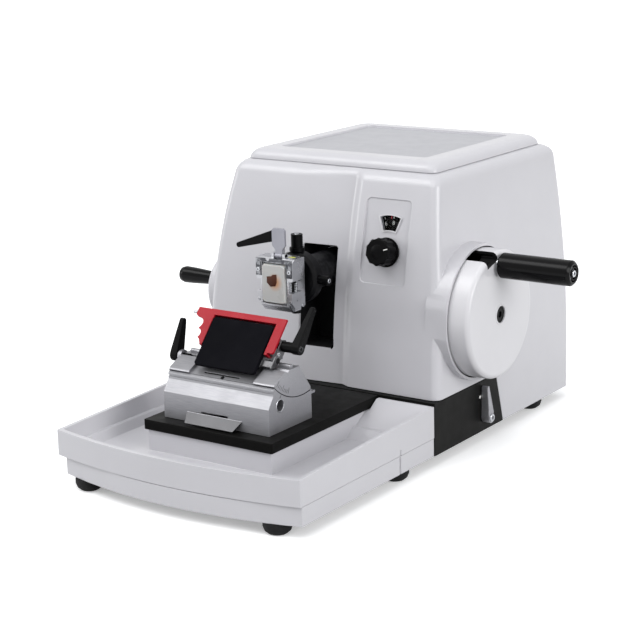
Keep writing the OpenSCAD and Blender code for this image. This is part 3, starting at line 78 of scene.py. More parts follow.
class Nodes:
    """A material's node tree with short calls to add and link nodes."""

    def __init__(self, name):
        self.material = bpy.data.materials.new(name)
        self.material.use_nodes = True
        self.tree = self.material.node_tree
        self.tree.nodes.clear()
        self.shader = self.add("ShaderNodeBsdfPrincipled")
        output = self.add("ShaderNodeOutputMaterial")
        self.link(self.shader.outputs["BSDF"], output.inputs["Surface"])
        self.place = self.add("ShaderNodeTexCoord").outputs["Object"]

    def add(self, kind, **values):
        node = self.tree.nodes.new(kind)
        for key, value in values.items():
            if hasattr(node, key):
                setattr(node, key, value)
            else:
                node.inputs[key.replace("_", " ")].default_value = value
        return node

    def link(self, start, end):
        self.tree.links.new(start, end)

    def noise(self, size, detail=3.0, stretch=None):
        """Noise with marks of about size mm, longer along an axis with a small stretch value."""
        node = self.add("ShaderNodeTexNoise", Scale=1 / (size * MM), Detail=detail)
        source = self.place
        if stretch:
            mapping = self.add("ShaderNodeMapping")
            mapping.inputs["Scale"].default_value = stretch
            self.link(source, mapping.inputs["Vector"])
            source = mapping.outputs["Vector"]
        self.link(source, node.inputs["Vector"])
        return node.outputs["Fac"]

    def ramp(self, source, low, high, to_low, to_high):
        node = self.add("ShaderNodeMapRange")
        node.clamp = True
        node.inputs["From Min"].default_value = low
        node.inputs["From Max"].default_value = high
        node.inputs["To Min"].default_value = to_low
        node.inputs["To Max"].default_value = to_high
        self.link(source, node.inputs["Value"])
        return node.outputs["Result"]

    def mix(self, factor, first, second):
        node = self.add("ShaderNodeMix", data_type="RGBA")
        self.link(factor, node.inputs[0])
        for value, socket in ((first, node.inputs[6]), (second, node.inputs[7])):
            if isinstance(value, tuple):
                socket.default_value = (*value, 1.0)
            else:
                self.link(value, socket)
        return node.outputs[2]

    def spot(self, centre, inner, outer):
        """1 within the inner and 0 beyond the outer distance in mm from a point of the part."""
        node = self.add("ShaderNodeVectorMath", operation="DISTANCE")
        self.link(self.place, node.inputs[0])
        node.inputs[1].default_value = tuple(value * MM for value in centre)
        return self.ramp(node.outputs["Value"], inner * MM, outer * MM, 1.0, 0.0)

    def multiply(self, first, second):
        node = self.add("ShaderNodeMath", operation="MULTIPLY")
        self.link(first, node.inputs[0])
        self.link(second, node.inputs[1])
        return node.outputs[0]


def scaled(colour, factor):
    return tuple(min(1.0, channel * factor) for channel in colour)


TONE_MARKS, GLOSS_MARKS, WEAR_MARKS = 45, 14, 4


def finish(
    name, colour, rough, metal=0.0, grain=0.5, bump=0.02, mottle=0.04, wear=None, stretch=None,
    coat=0.0, soft=0.0, shine=0.5, stain=None,
):
    """A surface of a screen colour, with a fine grain in mm and slow changes of tone and gloss.

    wear is the colour of the worn edges. stain is a (centre, inner, outer) spot in mm and its colour.
    """
    n = Nodes(name)
    base = linear(*colour)
    tone = n.ramp(n.noise(TONE_MARKS, 4.0), 0.35, 0.65, 0.0, 1.0)
    surface = n.mix(tone, scaled(base, 1 - mottle), scaled(base, 1 + mottle))
    fine = n.noise(grain, 3.0, stretch)
    if stretch:
        streak = n.ramp(fine, 0.3, 0.7, 0.0, 1.0)
        surface = n.mix(streak, surface, scaled(base, 0.78))
    if wear:
        geometry = n.add("ShaderNodeNewGeometry")
        edge = n.ramp(geometry.outputs["Pointiness"], 0.54, 0.62, 0.0, 1.0)
        patchy = n.ramp(n.noise(WEAR_MARKS, 5.0), 0.42, 0.62, 0.0, 0.8)
        surface = n.mix(n.multiply(edge, patchy), surface, linear(*wear))
    if stain:
        spot, spot_colour = stain
        surface = n.mix(n.spot(*spot), surface, linear(*spot_colour))
    n.link(surface, n.shader.inputs["Base Color"])
    gloss = n.ramp(n.noise(GLOSS_MARKS, 6.0), 0.3, 0.7, rough * 0.88, min(1.0, rough * 1.12))
    n.link(gloss, n.shader.inputs["Roughness"])
    n.shader.inputs["Metallic"].default_value = metal
    n.shader.inputs["Specular IOR Level"].default_value = shine
    n.shader.inputs["Coat Weight"].default_value = coat
    n.shader.inputs["Coat Roughness"].default_value = 0.12
    if soft:
        n.shader.inputs["Subsurface Weight"].default_value = soft
        n.shader.inputs["Subsurface Radius"].default_value = (1.0, 0.75, 0.6)
        n.shader.inputs["Subsurface Scale"].default_value = 2 * MM
    relief = n.add("ShaderNodeBump")
    relief.inputs["Strength"].default_value = 0.6
    relief.inputs["Distance"].default_value = bump * MM
    n.link(fine, relief.inputs["Height"])
    n.link(relief.outputs["Normal"], n.shader.inputs["Normal"])
    return n.material


def finishes(table):
    return {name: finish(name, **values) for name, values in table.items()}


BARE = (178, 180, 184)
MATERIALS = finishes({
    "white_paint": dict(colour=(201, 200, 203), rough=0.36, grain=0.9, mottle=0.012, coat=0.25),
    "white_plastic": dict(colour=(188, 187, 191), rough=0.34, grain=0.7, mottle=0.012, coat=0.25),
    "black_paint": dict(colour=(13, 13, 12), rough=0.45, grain=0.8, bump=0.05, mottle=0.06, shine=0.06),
    "black_metal": dict(colour=(10, 10, 12), rough=0.4, grain=0.4, mottle=0.12, wear=BARE, shine=0.1),
    "black_plastic": dict(colour=(6, 6, 7), rough=0.34, grain=0.45, mottle=0.08, shine=0.06),
    "rubber": dict(colour=(26, 26, 27), rough=0.8, grain=0.6, bump=0.08, mottle=0.1, shine=0.2),
    "cast_iron": dict(colour=(62, 63, 66), rough=0.62, metal=0.4, grain=1.2, bump=0.15, mottle=0.15),
    "steel": dict(
        colour=(186, 188, 192), rough=0.26, metal=1.0, bump=0.01, mottle=0.06, stretch=(1.0, 0.04, 1.0),
    ),
    "nickel": dict(colour=(180, 181, 185), rough=0.28, metal=0.85, grain=0.6, bump=0.004, mottle=0.05),
    "aluminium": dict(
        colour=(156, 156, 160), rough=0.4, metal=0.8, grain=0.35, bump=0.012, stretch=(0.03, 1.0, 1.0),
    ),
    "red_plastic": dict(colour=(158, 17, 33), rough=0.4, mottle=0.06, shine=0.2),
    "cassette_plastic": dict(colour=(214, 214, 214), rough=0.5, mottle=0.02, soft=0.15),
    "wax": dict(
        colour=(180, 180, 178), rough=0.3, grain=1.6, bump=0.03, mottle=0.06, soft=0.3,
        stain=(((-1, -59.2, 181), 3.5, 9.5), (182, 136, 100)),
    ),
})


def window_material():
    n = Nodes("window")
    smear = n.ramp(n.noise(9, 5.0), 0.35, 0.7, 0.04, 0.14)
    n.link(smear, n.shader.inputs["Roughness"])
    n.shader.inputs["Base Color"].default_value = (0.9, 0.92, 0.93, 1.0)
    n.shader.inputs["Transmission Weight"].default_value = 1.0
    n.shader.inputs["IOR"].default_value = 1.12
    return n.material


MATERIALS["window"] = window_material()
FINISHES = finishes({
    # A dark finish: the own colour of the slot liner, the shield plate and the joint seams, and painted shade
    # in the pan, the wheel's hollow and notch, the segment's slot and hole, the clamp's side recess and the
    # cheek's hole
    "black_inner_and_painted_shade": dict(colour=(22, 22, 23), rough=0.7, grain=0.8, bump=0.05, mottle=0.1, shine=0.1),
    "ink_white": dict(colour=(214, 214, 210), rough=0.55, grain=0.4, bump=0.01),
    "ink_red": dict(colour=(150, 34, 48), rough=0.5, grain=0.4, bump=0.01, mottle=0.06),
    "ink_black": dict(colour=(40, 40, 44), rough=0.6, grain=0.4, bump=0.01, mottle=0.06),
    "tissue": dict(colour=(62, 28, 12), rough=0.5, grain=1.1, bump=0.3, mottle=0.6, shine=0.2),
    "fluid": dict(colour=(176, 178, 60), rough=0.2, grain=0.8, mottle=0.1, coat=0.6),
    "matt_pad": dict(colour=(12, 12, 16), rough=0.7, bump=0.06, mottle=0.15, shine=0.03),
    "gloss_black": dict(
        colour=(5, 5, 6), rough=0.2, grain=0.45, bump=0.01, mottle=0.06, coat=0.08, shine=0.08,
    ),
    "textured_white": dict(colour=(166, 166, 170), rough=0.5, grain=0.6, bump=0.05, mottle=0.008),
    "satin_nickel": dict(colour=(146, 146, 154), rough=0.42, metal=0.5, bump=0.01, mottle=0.05),
    # This darker steel is the blade carrier's own colour, and painted shade where it covers the holder's lip
    "satin_steel_and_painted_shade": dict(colour=(92, 92, 94), rough=0.34, metal=0.8, bump=0.01, mottle=0.1),
    "slate": dict(colour=(70, 71, 76), rough=0.38, metal=0.6, bump=0.03, mottle=0.16, wear=BARE),
})


# Mesh pieces


def join(obj, body, slot, material=None):
    """Gives a new piece its body and its material, which is the slot's material unless another is given."""
    obj.data.materials.clear()
    obj.data.materials.append(material or MATERIALS[slot])
    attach(obj, body)
    return obj


def smooth(mesh, degrees=38):
    for polygon in mesh.polygons:
        polygon.use_smooth = True
    mesh.set_sharp_from_angle(angle=math.radians(degrees))


def evaluated(obj):
    """The object's mesh with its modifiers applied, as a new mesh."""
    graph = bpy.context.evaluated_depsgraph_get()
    graph.update()
    return bpy.data.meshes.new_from_object(obj.evaluated_get(graph), depsgraph=graph)


def volume_and_box(mesh):
    bm = bmesh.new()
    bm.from_mesh(mesh)
    volume = abs(bm.calc_volume())
    low = Vector([min(v.co[i] for v in bm.verts) for i in range(3)])
    high = Vector([max(v.co[i] for v in bm.verts) for i in range(3)])
    bm.free()
    return volume, low, high


def bevelled(obj, width):
    """Rounds the sharp edges by width mm, and leaves obj as it was where that spoils its form."""
    volume, low, high = volume_and_box(obj.data)
    modifier = obj.modifiers.new("edges", "BEVEL")
    modifier.width = width * MM
    modifier.segments = 2
    modifier.limit_method = "ANGLE"
    modifier.angle_limit = math.radians(32)
    modifier.use_clamp_overlap = False
    mesh = evaluated(obj)
    obj.modifiers.clear()
    new_volume, new_low, new_high = volume_and_box(mesh)
    same_volume = abs(new_volume - volume) < 0.06 * volume
    if same_volume and (new_low - low).length < 0.4 * MM and (new_high - high).length < 0.4 * MM:
        obj.data = mesh
    else:
        print("edges left sharp:", obj.name)


def weighted(obj):
    """Keeps large faces flat in their shading next to small rounded edges."""
    modifier = obj.modifiers.new("normals", "WEIGHTED_NORMAL")
    modifier.keep_sharp = True


def finished(node, width, material=None):
    """A copy of a CAD node with rounded edges, which is shown in its place."""
    mesh = frame["nodes"][node].data.copy()
    for attribute in [a for a in mesh.attributes if a.name == "custom_normal"]:
        mesh.attributes.remove(attribute)
    obj = bpy.data.objects.new(node + "_finished", mesh)
    bpy.context.scene.collection.objects.link(obj)
    bm = bmesh.new()
    bm.from_mesh(mesh)
    bmesh.ops.remove_doubles(bm, verts=bm.verts, dist=2e-6)
    bmesh.ops.dissolve_limit(bm, angle_limit=math.radians(0.4), verts=bm.verts, edges=bm.edges)
    for edge in bm.edges:
        edge.smooth = True
    bm.to_mesh(mesh)
    bm.free()
    bevelled(obj, width)
    smooth(obj.data)
    weighted(obj)
    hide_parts(node)
    return join(obj, BODY_OF[node], SLOT_OF[node], material)


def placed(origin, normal, up=(0, 0, 1)):
    """The place of a local frame in mm, with Z along normal and Y as near to up as it can be."""
    z = Vector(normal).normalized()
    x = Vector(up).cross(z).normalized()
    y = z.cross(x)
    matrix = Matrix((x, y, z)).transposed().to_4x4()
    matrix.translation = Vector(origin) * MM
    return matrix


def from_faces(name, points, faces, place):
    mesh = bpy.data.meshes.new(name)
    mesh.from_pydata([place @ (Vector(p) * MM) for p in points], [], faces)
    bm = bmesh.new()
    bm.from_mesh(mesh)
    bmesh.ops.recalc_face_normals(bm, faces=bm.faces)
    bm.to_mesh(mesh)
    bm.free()
    obj = bpy.data.objects.new(name, mesh)
    bpy.context.scene.collection.objects.link(obj)
    return obj


def ring_faces(rows, steps, closed):
    """Quads between rows of steps points each, and from the last row to the first where closed."""
    faces = []
    for row in range(rows if closed else rows - 1):
        below = row * steps
        above = (row + 1) % rows * steps
        for i in range(steps):
            j = (i + 1) % steps
            faces.append((below + i, below + j, above + j, above + i))
    return faces


def plate(name, outline, bottom, top, place, edge=0.0):
    """An outline in mm raised from bottom to top along the local Z axis, with rounded edges."""
    count = len(outline)
    points = [(x, y, bottom) for x, y in outline] + [(x, y, top) for x, y in outline]
    faces = [tuple(range(count))[::-1], tuple(range(count, 2 * count))]
    obj = from_faces(name, points, faces + ring_faces(2, count, False), place)
    if edge:
        bevelled(obj, edge)
    smooth(obj.data)
    return obj


def turned(name, profile, place, steps=48):
    """A closed profile of (radius, height) in mm turned about the local Z axis."""
    points = []
    for radius, height in profile:
        for i in range(steps):
            angle = 2 * math.pi * i / steps
            points.append((radius * math.cos(angle), radius * math.sin(angle), height))
    obj = from_faces(name, points, ring_faces(len(profile), steps, True), place)
    bm = bmesh.new()
    bm.from_mesh(obj.data)
    bmesh.ops.remove_doubles(bm, verts=bm.verts, dist=1e-6)
    bmesh.ops.recalc_face_normals(bm, faces=bm.faces)
    bm.to_mesh(obj.data)
    bm.free()
    smooth(obj.data)
    return obj


def mesh_of(name, curve):
    """A mesh object with the form of a curve or a text."""
    holder = bpy.data.objects.new(name + "_line", curve)
    bpy.context.scene.collection.objects.link(holder)
    mesh = evaluated(holder)
    bpy.data.objects.remove(holder)
    obj = bpy.data.objects.new(name, mesh)
    bpy.context.scene.collection.objects.link(obj)
    return obj


def rod(name, points, radius, place, sides):
    """A round bar along a line of points in mm."""
    curve = bpy.data.curves.new(name, "CURVE")
    curve.dimensions = "3D"
    curve.bevel_depth = radius * MM
    curve.bevel_resolution = sides // 2
    curve.use_fill_caps = True
    spline = curve.splines.new("POLY")
    spline.points.add(len(points) - 1)
    for point, where in zip(spline.points, points):
        point.co = (*(place @ (Vector(where) * MM)), 1.0)
    obj = mesh_of(name, curve)
    smooth(obj.data, 50)
    return obj


def screw(name, origin, normal, radius, body, slot="steel", up=(0, 0, 1), proud=0.6):
    """A round screw head with a chamfered rim and a hexagonal socket."""
    steps = 48
    sink = 1.0
    rim = 0.12 * radius
    socket = 0.5 * radius
    rings = [
        (radius, -sink, False),
        (radius, proud - rim, False),
        (radius - rim, proud, False),
        (socket, proud, True),
        (socket, proud - socket, True),
    ]
    points = []
    for reach, height, hexagon in rings:
        for i in range(steps):
            angle = 2 * math.pi * i / steps
            factor = 1.0
            if hexagon:
                off = (angle % (math.pi / 3)) - math.pi / 6
                factor = math.cos(math.pi / 6) / math.cos(off)
            points.append((reach * factor * math.cos(angle), reach * factor * math.sin(angle), height))
    faces = [tuple(range(steps))[::-1]]
    faces += ring_faces(len(rings), steps, False)
    faces.append(tuple(range(len(points) - steps, len(points))))
    obj = from_faces(name, points, faces, placed(origin, normal, up))
    smooth(obj.data, 30)
    return join(obj, body, slot)


# Every CAD node gets its finish, and the visible ones a copy with rounded edges

EDGES = {
    "base_casting": 0.8,
    "front_base": 0.8,
    "feet": 0.6,
    "waste_tray": 0.7,
    "pedestal": 0.6,
    "knife_plate": 0.8,
    "housing_shell": 0.6,
    "top_cover": 0.6,
    "handwheel": 0.4,
    "hub_cap": 0.2,
    "wheel_grip": 0.4,
    "grip_spindle": 0.2,
    "brake_lever": 0.4,
    "coarse_wheel": 0.3,
    "coarse_grip": 0.3,
    "thickness_knob": 0.25,
    "thickness_dial": 0.2,
    "specimen_cylinder": 0.3,
    "head_disc": 0.3,
    "tilt_knob": 0.15,
    "swivel_knob": 0.15,
    "gimbal_ring": 0.2,
    "clamp_body": 0.3,
    "clamp_lever": 0.3,
    "lock_lever": 0.4,
    "cassette": 0.2,
    "wax_block": 0.3,
    "holder_base": 0.3,
    "holder_segment": 0.3,
    "blade_carrier": 0.25,
    "pressure_plate": 0.3,
    "knife_guard": 0.35,
    "lateral_lever": 0.4,
    "blade_lever": 0.4,
    "shield_plate": 0.2,
    "slot_liner": 0.2,
}
OTHER_FINISH = {
    "pressure_plate": "matt_pad",
    "slot_liner": "black_inner_and_painted_shade",
    "shield_plate": "black_inner_and_painted_shade",
    "wheel_grip": "gloss_black",
    "coarse_grip": "gloss_black",
    "blade_carrier": "satin_steel_and_painted_shade",
    "clamp_lever": "satin_nickel",
}

for node, source in frame["nodes"].items():
    source.data.materials.clear()
    source.data.materials.append(MATERIALS[SLOT_OF[node]])

shown = {}
for node, width in EDGES.items():
    shown[node] = finished(node, width, FINISHES.get(OTHER_FINISH.get(node)))

# Hollows, walls and folds given another finish than the rest of their node: painted shade in the dark hollows
# and on the holder's lip, and a darker textured white on the dish floor


def repaint(node, material, inside):
    """Gives the faces of a node whose corners pass the test another finish."""
    mesh = shown[node].data
    mesh.materials.append(material)
    index = len(mesh.materials) - 1
    for polygon in mesh.polygons:
        if inside([mesh.vertices[i].co / MM for i in polygon.vertices]):
            polygon.material_index = index


WHEEL_Y, WHEEL_Z = pivot("handwheel_turn")[1:]
PAN_X, PAN_RADIUS = 121, 65.3
HOLLOW_X, HOLLOW_RADIUS = 168.2, 61
NOTCH_TURN = math.radians(17)
NOTCH_START, NOTCH_HALF = 54.5, 10.3
DISH_LOW, DISH_HIGH = 286.2, 287.0
SLOT_HALF, SLOT_FRONT, SLOT_REAR = 21.2, -147.9, -145.9
HOLE_X, HOLE_Y, HOLE_RADIUS = 2.6, -152.3, 2.1
LIP_HALF, LIP_ROOT, LIP_TIP = 33, -161.8, -163
LIP_LOW, LIP_HIGH = 65, 74.8


def in_pan(points):
    """The pan of the housing behind the wheel, where painted shade goes."""
    return all(p.x > PAN_X and math.hypot(p.y - WHEEL_Y, p.z - WHEEL_Z) < PAN_RADIUS for p in points)


def in_wheel_notch(points):
    """The hollow of the wheel and the walls of its finger notch, where painted shade goes."""
    inside = True
    for p in points:
        y = p.y - WHEEL_Y
        z = p.z - WHEEL_Z
        along = z * math.cos(NOTCH_TURN) - y * math.sin(NOTCH_TURN)
        across = y * math.cos(NOTCH_TURN) + z * math.sin(NOTCH_TURN)
        in_notch = along > NOTCH_START and abs(across) < NOTCH_HALF
        in_hollow = p.x < HOLLOW_X and math.hypot(y, z) < HOLLOW_RADIUS
        inside = inside and (in_notch or in_hollow)
    return inside


def in_dish(points):
    """The floor of the dish in the top cover."""
    return all(DISH_LOW < p.z < DISH_HIGH for p in points)


def in_segment_slot(points):
    """The narrow slot and the small hole in the front of the segment, where painted shade goes."""
    slot = all(abs(p.x) < SLOT_HALF and SLOT_FRONT < p.y < SLOT_REAR for p in points)
    hole = all(math.hypot(p.x - HOLE_X, p.y - HOLE_Y) < HOLE_RADIUS for p in points)
    return slot or hole


def in_holder_lip(points):
    """The bent lip on the front of the holder's base, which gets a darker finish as painted shade."""
    near = all(p.y < LIP_ROOT and LIP_LOW < p.z < LIP_HIGH and abs(p.x) < LIP_HALF for p in points)
    return near and min(p.y for p in points) < LIP_TIP


# Painted shade: the dark finish in the pan behind the wheel, in the wheel's hollow and notch and in the
# segment's slot and hole, and the darker steel on the holder's lip; the dish floor gets a darker textured
# white
repaint("housing_shell", FINISHES["black_inner_and_painted_shade"], in_pan)
repaint("handwheel", FINISHES["black_inner_and_painted_shade"], in_wheel_notch)
repaint("top_cover", FINISHES["textured_white"], in_dish)
repaint("holder_segment", FINISHES["black_inner_and_painted_shade"], in_segment_slot)
repaint("holder_base", FINISHES["satin_steel_and_painted_shade"], in_holder_lip)

# Small pieces on the dial and the control panel

LEAN = (0, 0.2095, 0.9778)
OUT = (0, -LEAN[2], LEAN[1])
PANEL = placed((74.5, 23.5, 202.5), OUT, LEAN)


def polar(radius, degrees):
    """A point at an angle measured clockwise from the local Y axis."""
    return (radius * math.sin(math.radians(degrees)), radius * math.cos(math.radians(degrees)))


def fan(inner, outer, half, steps=14):
    """A ring sector about the upward direction, as an outline."""
    angles = [-half + 2 * half * i / steps for i in range(steps + 1)]
    return [polar(outer, a) for a in angles] + [polar(inner, a) for a in reversed(angles)]


def frame_band(name, inner, outer, bottom, top, place):
    """A flat frame between two outlines with the same number of points."""
    rings = ((inner, bottom), (inner, top), (outer, top), (outer, bottom))
    points = [(x, y, z) for outline, z in rings for x, y in outline]
    obj = from_faces(name, points, ring_faces(len(rings), len(inner), True), place)
    bevelled(obj, 0.12)
    smooth(obj.data)
    return obj


def number(name, text, size, place, body):
    curve = bpy.data.curves.new(name, "FONT")
    curve.body = text
    curve.size = size * MM
    curve.extrude = 0.04 * MM
    curve.align_x = "CENTER"
    curve.align_y = "CENTER"
    obj = mesh_of(name, curve)
    obj.data.transform(place)
    return join(obj, body, "black_plastic", FINISHES["ink_white"])


def line_mark(name, start, end, width, place, body, slot, material, bottom=0.0, top=0.08):
    """A thin raised line between two points of a local plane."""
    along = Vector((end[0] - start[0], end[1] - start[1])).normalized() * width / 2
    side = (-along.y, along.x)
    outline = [
        (start[0] - side[0], start[1] - side[1]),
        (end[0] - side[0], end[1] - side[1]),
        (end[0] + side[0], end[1] + side[1]),
        (start[0] + side[0], start[1] + side[1]),
    ]
    return join(plate(name, outline, bottom, top, place), body, slot, material)


window_frame = frame_band("window_frame", fan(21.5, 36.0, 19.5), fan(20.5, 37.0, 21.2), -0.3, 0.35, PANEL)
join(window_frame, "root", "white_paint")

THICKNESSES = (8, 10, 12, 14, 16, 18, 20, 25, 30, 35, 40, 45, 50, 55, 60, 0, 1, 2, 3, 4, 6)
FIRST_TURN = -1
NUMBER_SIZE, NUMBER_RADIUS = 5.6, 28.8
MARK_INNER, MARK_OUTER = 33.2, 35.6
DIAL_FACE = -7.98
for index, value in enumerate(THICKNESSES):
    turn = index * 360 / len(THICKNESSES) + FIRST_TURN
    x, y = polar(NUMBER_RADIUS, turn)
    spot = PANEL @ Matrix.Translation(Vector((x, y, DIAL_FACE)) * MM)
    spot = spot @ Matrix.Rotation(-math.radians(turn), 4, "Z")
    number(f"number_{index}", str(value), NUMBER_SIZE, spot, "thickness")
    line_mark(
        f"dial_line_{index}", polar(MARK_INNER, turn), polar(MARK_OUTER, turn), 0.8, PANEL, "thickness",
        "black_plastic", FINISHES["ink_white"], DIAL_FACE - 0.02, DIAL_FACE + 0.06,
    )
line_mark(
    "pointer", (0.2, 32.8), (0.2, 36.0), 1.0, PANEL, "root", "red_plastic", FINISHES["ink_red"], -2.02, -1.85,
)

KNOB_TOP = 18.6
KNOB_LINE_TURN = 72
skirt = [(6, 0.9), (14.1, 0.9), (14.5, 1.2), (14.5, 2.3), (14.1, 2.7), (6, 2.7)]
join(turned("knob_skirt", skirt, PANEL, 64), "thickness", "black_plastic")
line_mark(
    "knob_line", polar(7.5, KNOB_LINE_TURN), polar(12.2, KNOB_LINE_TURN), 1.0, PANEL, "thickness",
    "black_plastic", FINISHES["ink_white"], KNOB_TOP + 0.1, KNOB_TOP + 0.26,
)
cap_profile = [(0, KNOB_TOP), (0, 19.1), (6.6, 19.1), (7.0, 18.9), (7.0, KNOB_TOP)]
join(turned("knob_cap", cap_profile, PANEL, 48), "thickness", "black_plastic")

# Wheels, grips and brake

RIGHT, LEFT, FRONT, UP, BACK = (1, 0, 0), (-1, 0, 0), (0, -1, 0), (0, 0, 1), (0, 1, 0)
WHEEL_FACE = 170
GRIP_Y, GRIP_Z = pivot("wheel_grip_turn")[1:]
GRIP_END = round(first_high[0] / MM, 2)
COARSE_Y, COARSE_Z = pivot("coarse_turn")[1:]
COARSE_GRIP_Y, COARSE_GRIP_Z = pivot("coarse_grip_turn")[1:]
COARSE_GRIP_END = round(first_low[0] / MM, 2)
COARSE_FACE = -160.1
BRAKE_Y, BRAKE_Z = pivot("brake_turn")[1:]
BRAKE_FACE = 150.5
DOT_PLACE = (141.1, 88.3, 49.1)

hub_place = placed((WHEEL_FACE, WHEEL_Y, WHEEL_Z), RIGHT)
hub_profile = [(8.5, -0.6), (10.4, -0.6), (10.4, 0.15), (10.1, 0.4), (8.9, 0.4), (8.5, 0.1)]
join(turned("hub_ring", hub_profile, hub_place, 64), "handwheel", "white_paint")
screw("grip_screw", (GRIP_END + 0.1, GRIP_Y, GRIP_Z), RIGHT, 3.4, "wheel_grip", proud=0.5)
grip_place = placed((GRIP_END, GRIP_Y, GRIP_Z), RIGHT)
grip_profile = [(5.4, -0.6), (6.6, -0.6), (6.6, 0.1), (6.3, 0.35), (5.7, 0.35), (5.4, 0.1)]
join(turned("grip_end_ring", grip_profile, grip_place), "wheel_grip", "black_plastic")
coarse_end = (COARSE_GRIP_END - 0.1, COARSE_GRIP_Y, COARSE_GRIP_Z)
screw("coarse_grip_screw", coarse_end, LEFT, 2.6, "coarse_grip", proud=0.4)
coarse_hub = (COARSE_FACE, COARSE_Y, COARSE_Z)
screw("coarse_hub_screw", coarse_hub, LEFT, 5.2, "coarse", "black_metal", proud=1.6)
screw("brake_screw", (BRAKE_FACE, BRAKE_Y, BRAKE_Z), RIGHT, 4.2, "brake", proud=1.2)
dot_profile = [(0, -0.3), (0, 0.5), (1.0, 0.42), (1.6, 0.15), (1.7, -0.3)]
index_dot = turned("index_dot", dot_profile, placed(DOT_PLACE, RIGHT), 24)
join(index_dot, "root", "white_paint", FINISHES["ink_white"])

# Specimen head

HEAD_X, _, HEAD_Z = pivot("head_tilt")
CLAMP_FRONT = -56.7
CLAMP_RIGHT = 13.5
SCREW_ACROSS, PIN_ACROSS = 18.2, 18.6
TILT_KNOB_TOP, SWIVEL_KNOB_END = 221, 34.3
WAX_FRONT = -59.2
CLAMP_TOP = 204

HEAD = placed((HEAD_X, CLAMP_FRONT, HEAD_Z), FRONT)
jaw_outline = [
    (-21, 8), (-15.4, 8), (-15.4, 21.6), (15.4, 21.6), (15.4, 8), (21, 8),
    (21, 25.4), (-5, 25.4), (-5.6, 23.0), (-9.4, 23.0), (-10, 25.4), (-21, 25.4),
]
jaw = plate("jaw_plate", jaw_outline, -0.2, 1.3, HEAD, 0.25)
join(jaw, "head_swivel", "black_metal", FINISHES["slate"])
for index, side in enumerate((-1, 1)):
    screw_place = (HEAD_X + side * SCREW_ACROSS, CLAMP_FRONT - 1.3, 191.8)
    screw(f"jaw_screw_{index}", screw_place, FRONT, 2.1, "head_swivel", proud=0.5)
    pin_place = (HEAD_X + side * PIN_ACROSS, CLAMP_FRONT, 162)
    screw(f"jaw_pin_{index}", pin_place, FRONT, 1.5, "head_swivel", proud=0.4)

SIDE = placed((CLAMP_RIGHT, -43, 168), RIGHT)
# A dark flat plate on the clamp's side, painted shade standing for the recess of the spring
recess_shade_outline = [(-8.5, -7), (-1.5, -7), (-1.5, 14), (-8.5, 14)]
recess_shade = plate("spring_recess_shade", recess_shade_outline, -0.2, 0.12, SIDE)
join(recess_shade, "head_swivel", "black_metal", FINISHES["black_inner_and_painted_shade"])


def coil(radius, pitch, turns, steps=14):
    """The points of a helix about the local Z axis."""
    points = []
    for i in range(int(turns * steps) + 1):
        angle = 2 * math.pi * i / steps
        points.append((radius * math.cos(angle), radius * math.sin(angle), pitch * i / steps))
    return points


spring_place = placed((15.0, -47.6, 162.5), UP, BACK)
join(rod("clamp_spring", coil(1.7, 1.55, 11), 0.42, spring_place, 6), "head_swivel", "steel")
screw("side_screw_upper", (CLAMP_RIGHT, -39.3, 182), RIGHT, 2.3, "head_swivel", proud=0.6)
screw("side_screw_lower", (CLAMP_RIGHT, -33.5, 154.8), RIGHT, 2.0, "head_swivel", proud=0.6)
catch_outline = [(-13.0, -10.5), (-8.4, -16.4), (-5.6, -16.4), (-5.6, -13.0), (-10.4, -7.6), (-13.0, -7.6)]
catch = plate("side_catch", catch_outline, -0.1, 1.4, SIDE, 0.25)
join(catch, "head_swivel", "black_metal", FINISHES["slate"])
swivel_y, swivel_z = pivot("swivel_knob_turn")[1:]
screw("swivel_knob_screw", (SWIVEL_KNOB_END, swivel_y, swivel_z), RIGHT, 2.3, "swivel_knob", proud=0.4)
tilt_x, tilt_y = pivot("tilt_knob_turn")[:2]
screw("tilt_knob_screw", (tilt_x, tilt_y, TILT_KNOB_TOP), UP, 2.6, "tilt_knob", up=BACK, proud=0.4)


def blob(name, centre, width, height, bottom, top, place, wobble, seed):
    """A flat slice with an uneven outline and a domed face."""
    steps = 40
    outline = []
    for i in range(steps):
        a = 2 * math.pi * i / steps
        waves = math.sin(3 * a + seed) + 0.6 * math.sin(5 * a + 2 * seed) + 0.4 * math.sin(9 * a + seed)
        r = 1 + wobble * waves
        outline.append((centre[0] + width / 2 * r * math.cos(a), centre[1] + height / 2 * r * math.sin(a)))
    inner = [(centre[0] + (x - centre[0]) * 0.8, centre[1] + (y - centre[1]) * 0.8) for x, y in outline]
    points = [(x, y, bottom) for x, y in outline] + [(x, y, top) for x, y in inner]
    points.append((centre[0], centre[1], top + 0.3 * (top - bottom)))
    faces = [tuple(range(steps))[::-1]]
    faces += ring_faces(2, steps, False)
    faces += [(steps + i, steps + (i + 1) % steps, 2 * steps) for i in range(steps)]
    obj = from_faces(name, points, faces, place)
    smooth(obj.data, 60)
    return obj


WAX = placed((HEAD_X, WAX_FRONT, 179), FRONT)
tissue_outline = [
    (-7.2, 1), (-3, -2.6), (2.6, -1.8), (4.4, 2.2), (4.4, 10), (-0.6, 9.2), (-2, 7.6), (-7.2, 7),
]
tissue = plate("tissue", tissue_outline, -0.2, 0.35, WAX, 0.15)
join(tissue, "head_swivel", "wax", FINISHES["tissue"])

top_place = placed((HEAD_X, -57, CLAMP_TOP), UP, BACK)
bubble = blob("level_spot", (12.5, 12.5), 9.0, 5.4, -0.1, 0.35, top_place, 0.06, 1.3)
join(bubble, "head_swivel", "wax", FINISHES["fluid"])

# Housing screws, each on the shell's nearest point to a place outside it

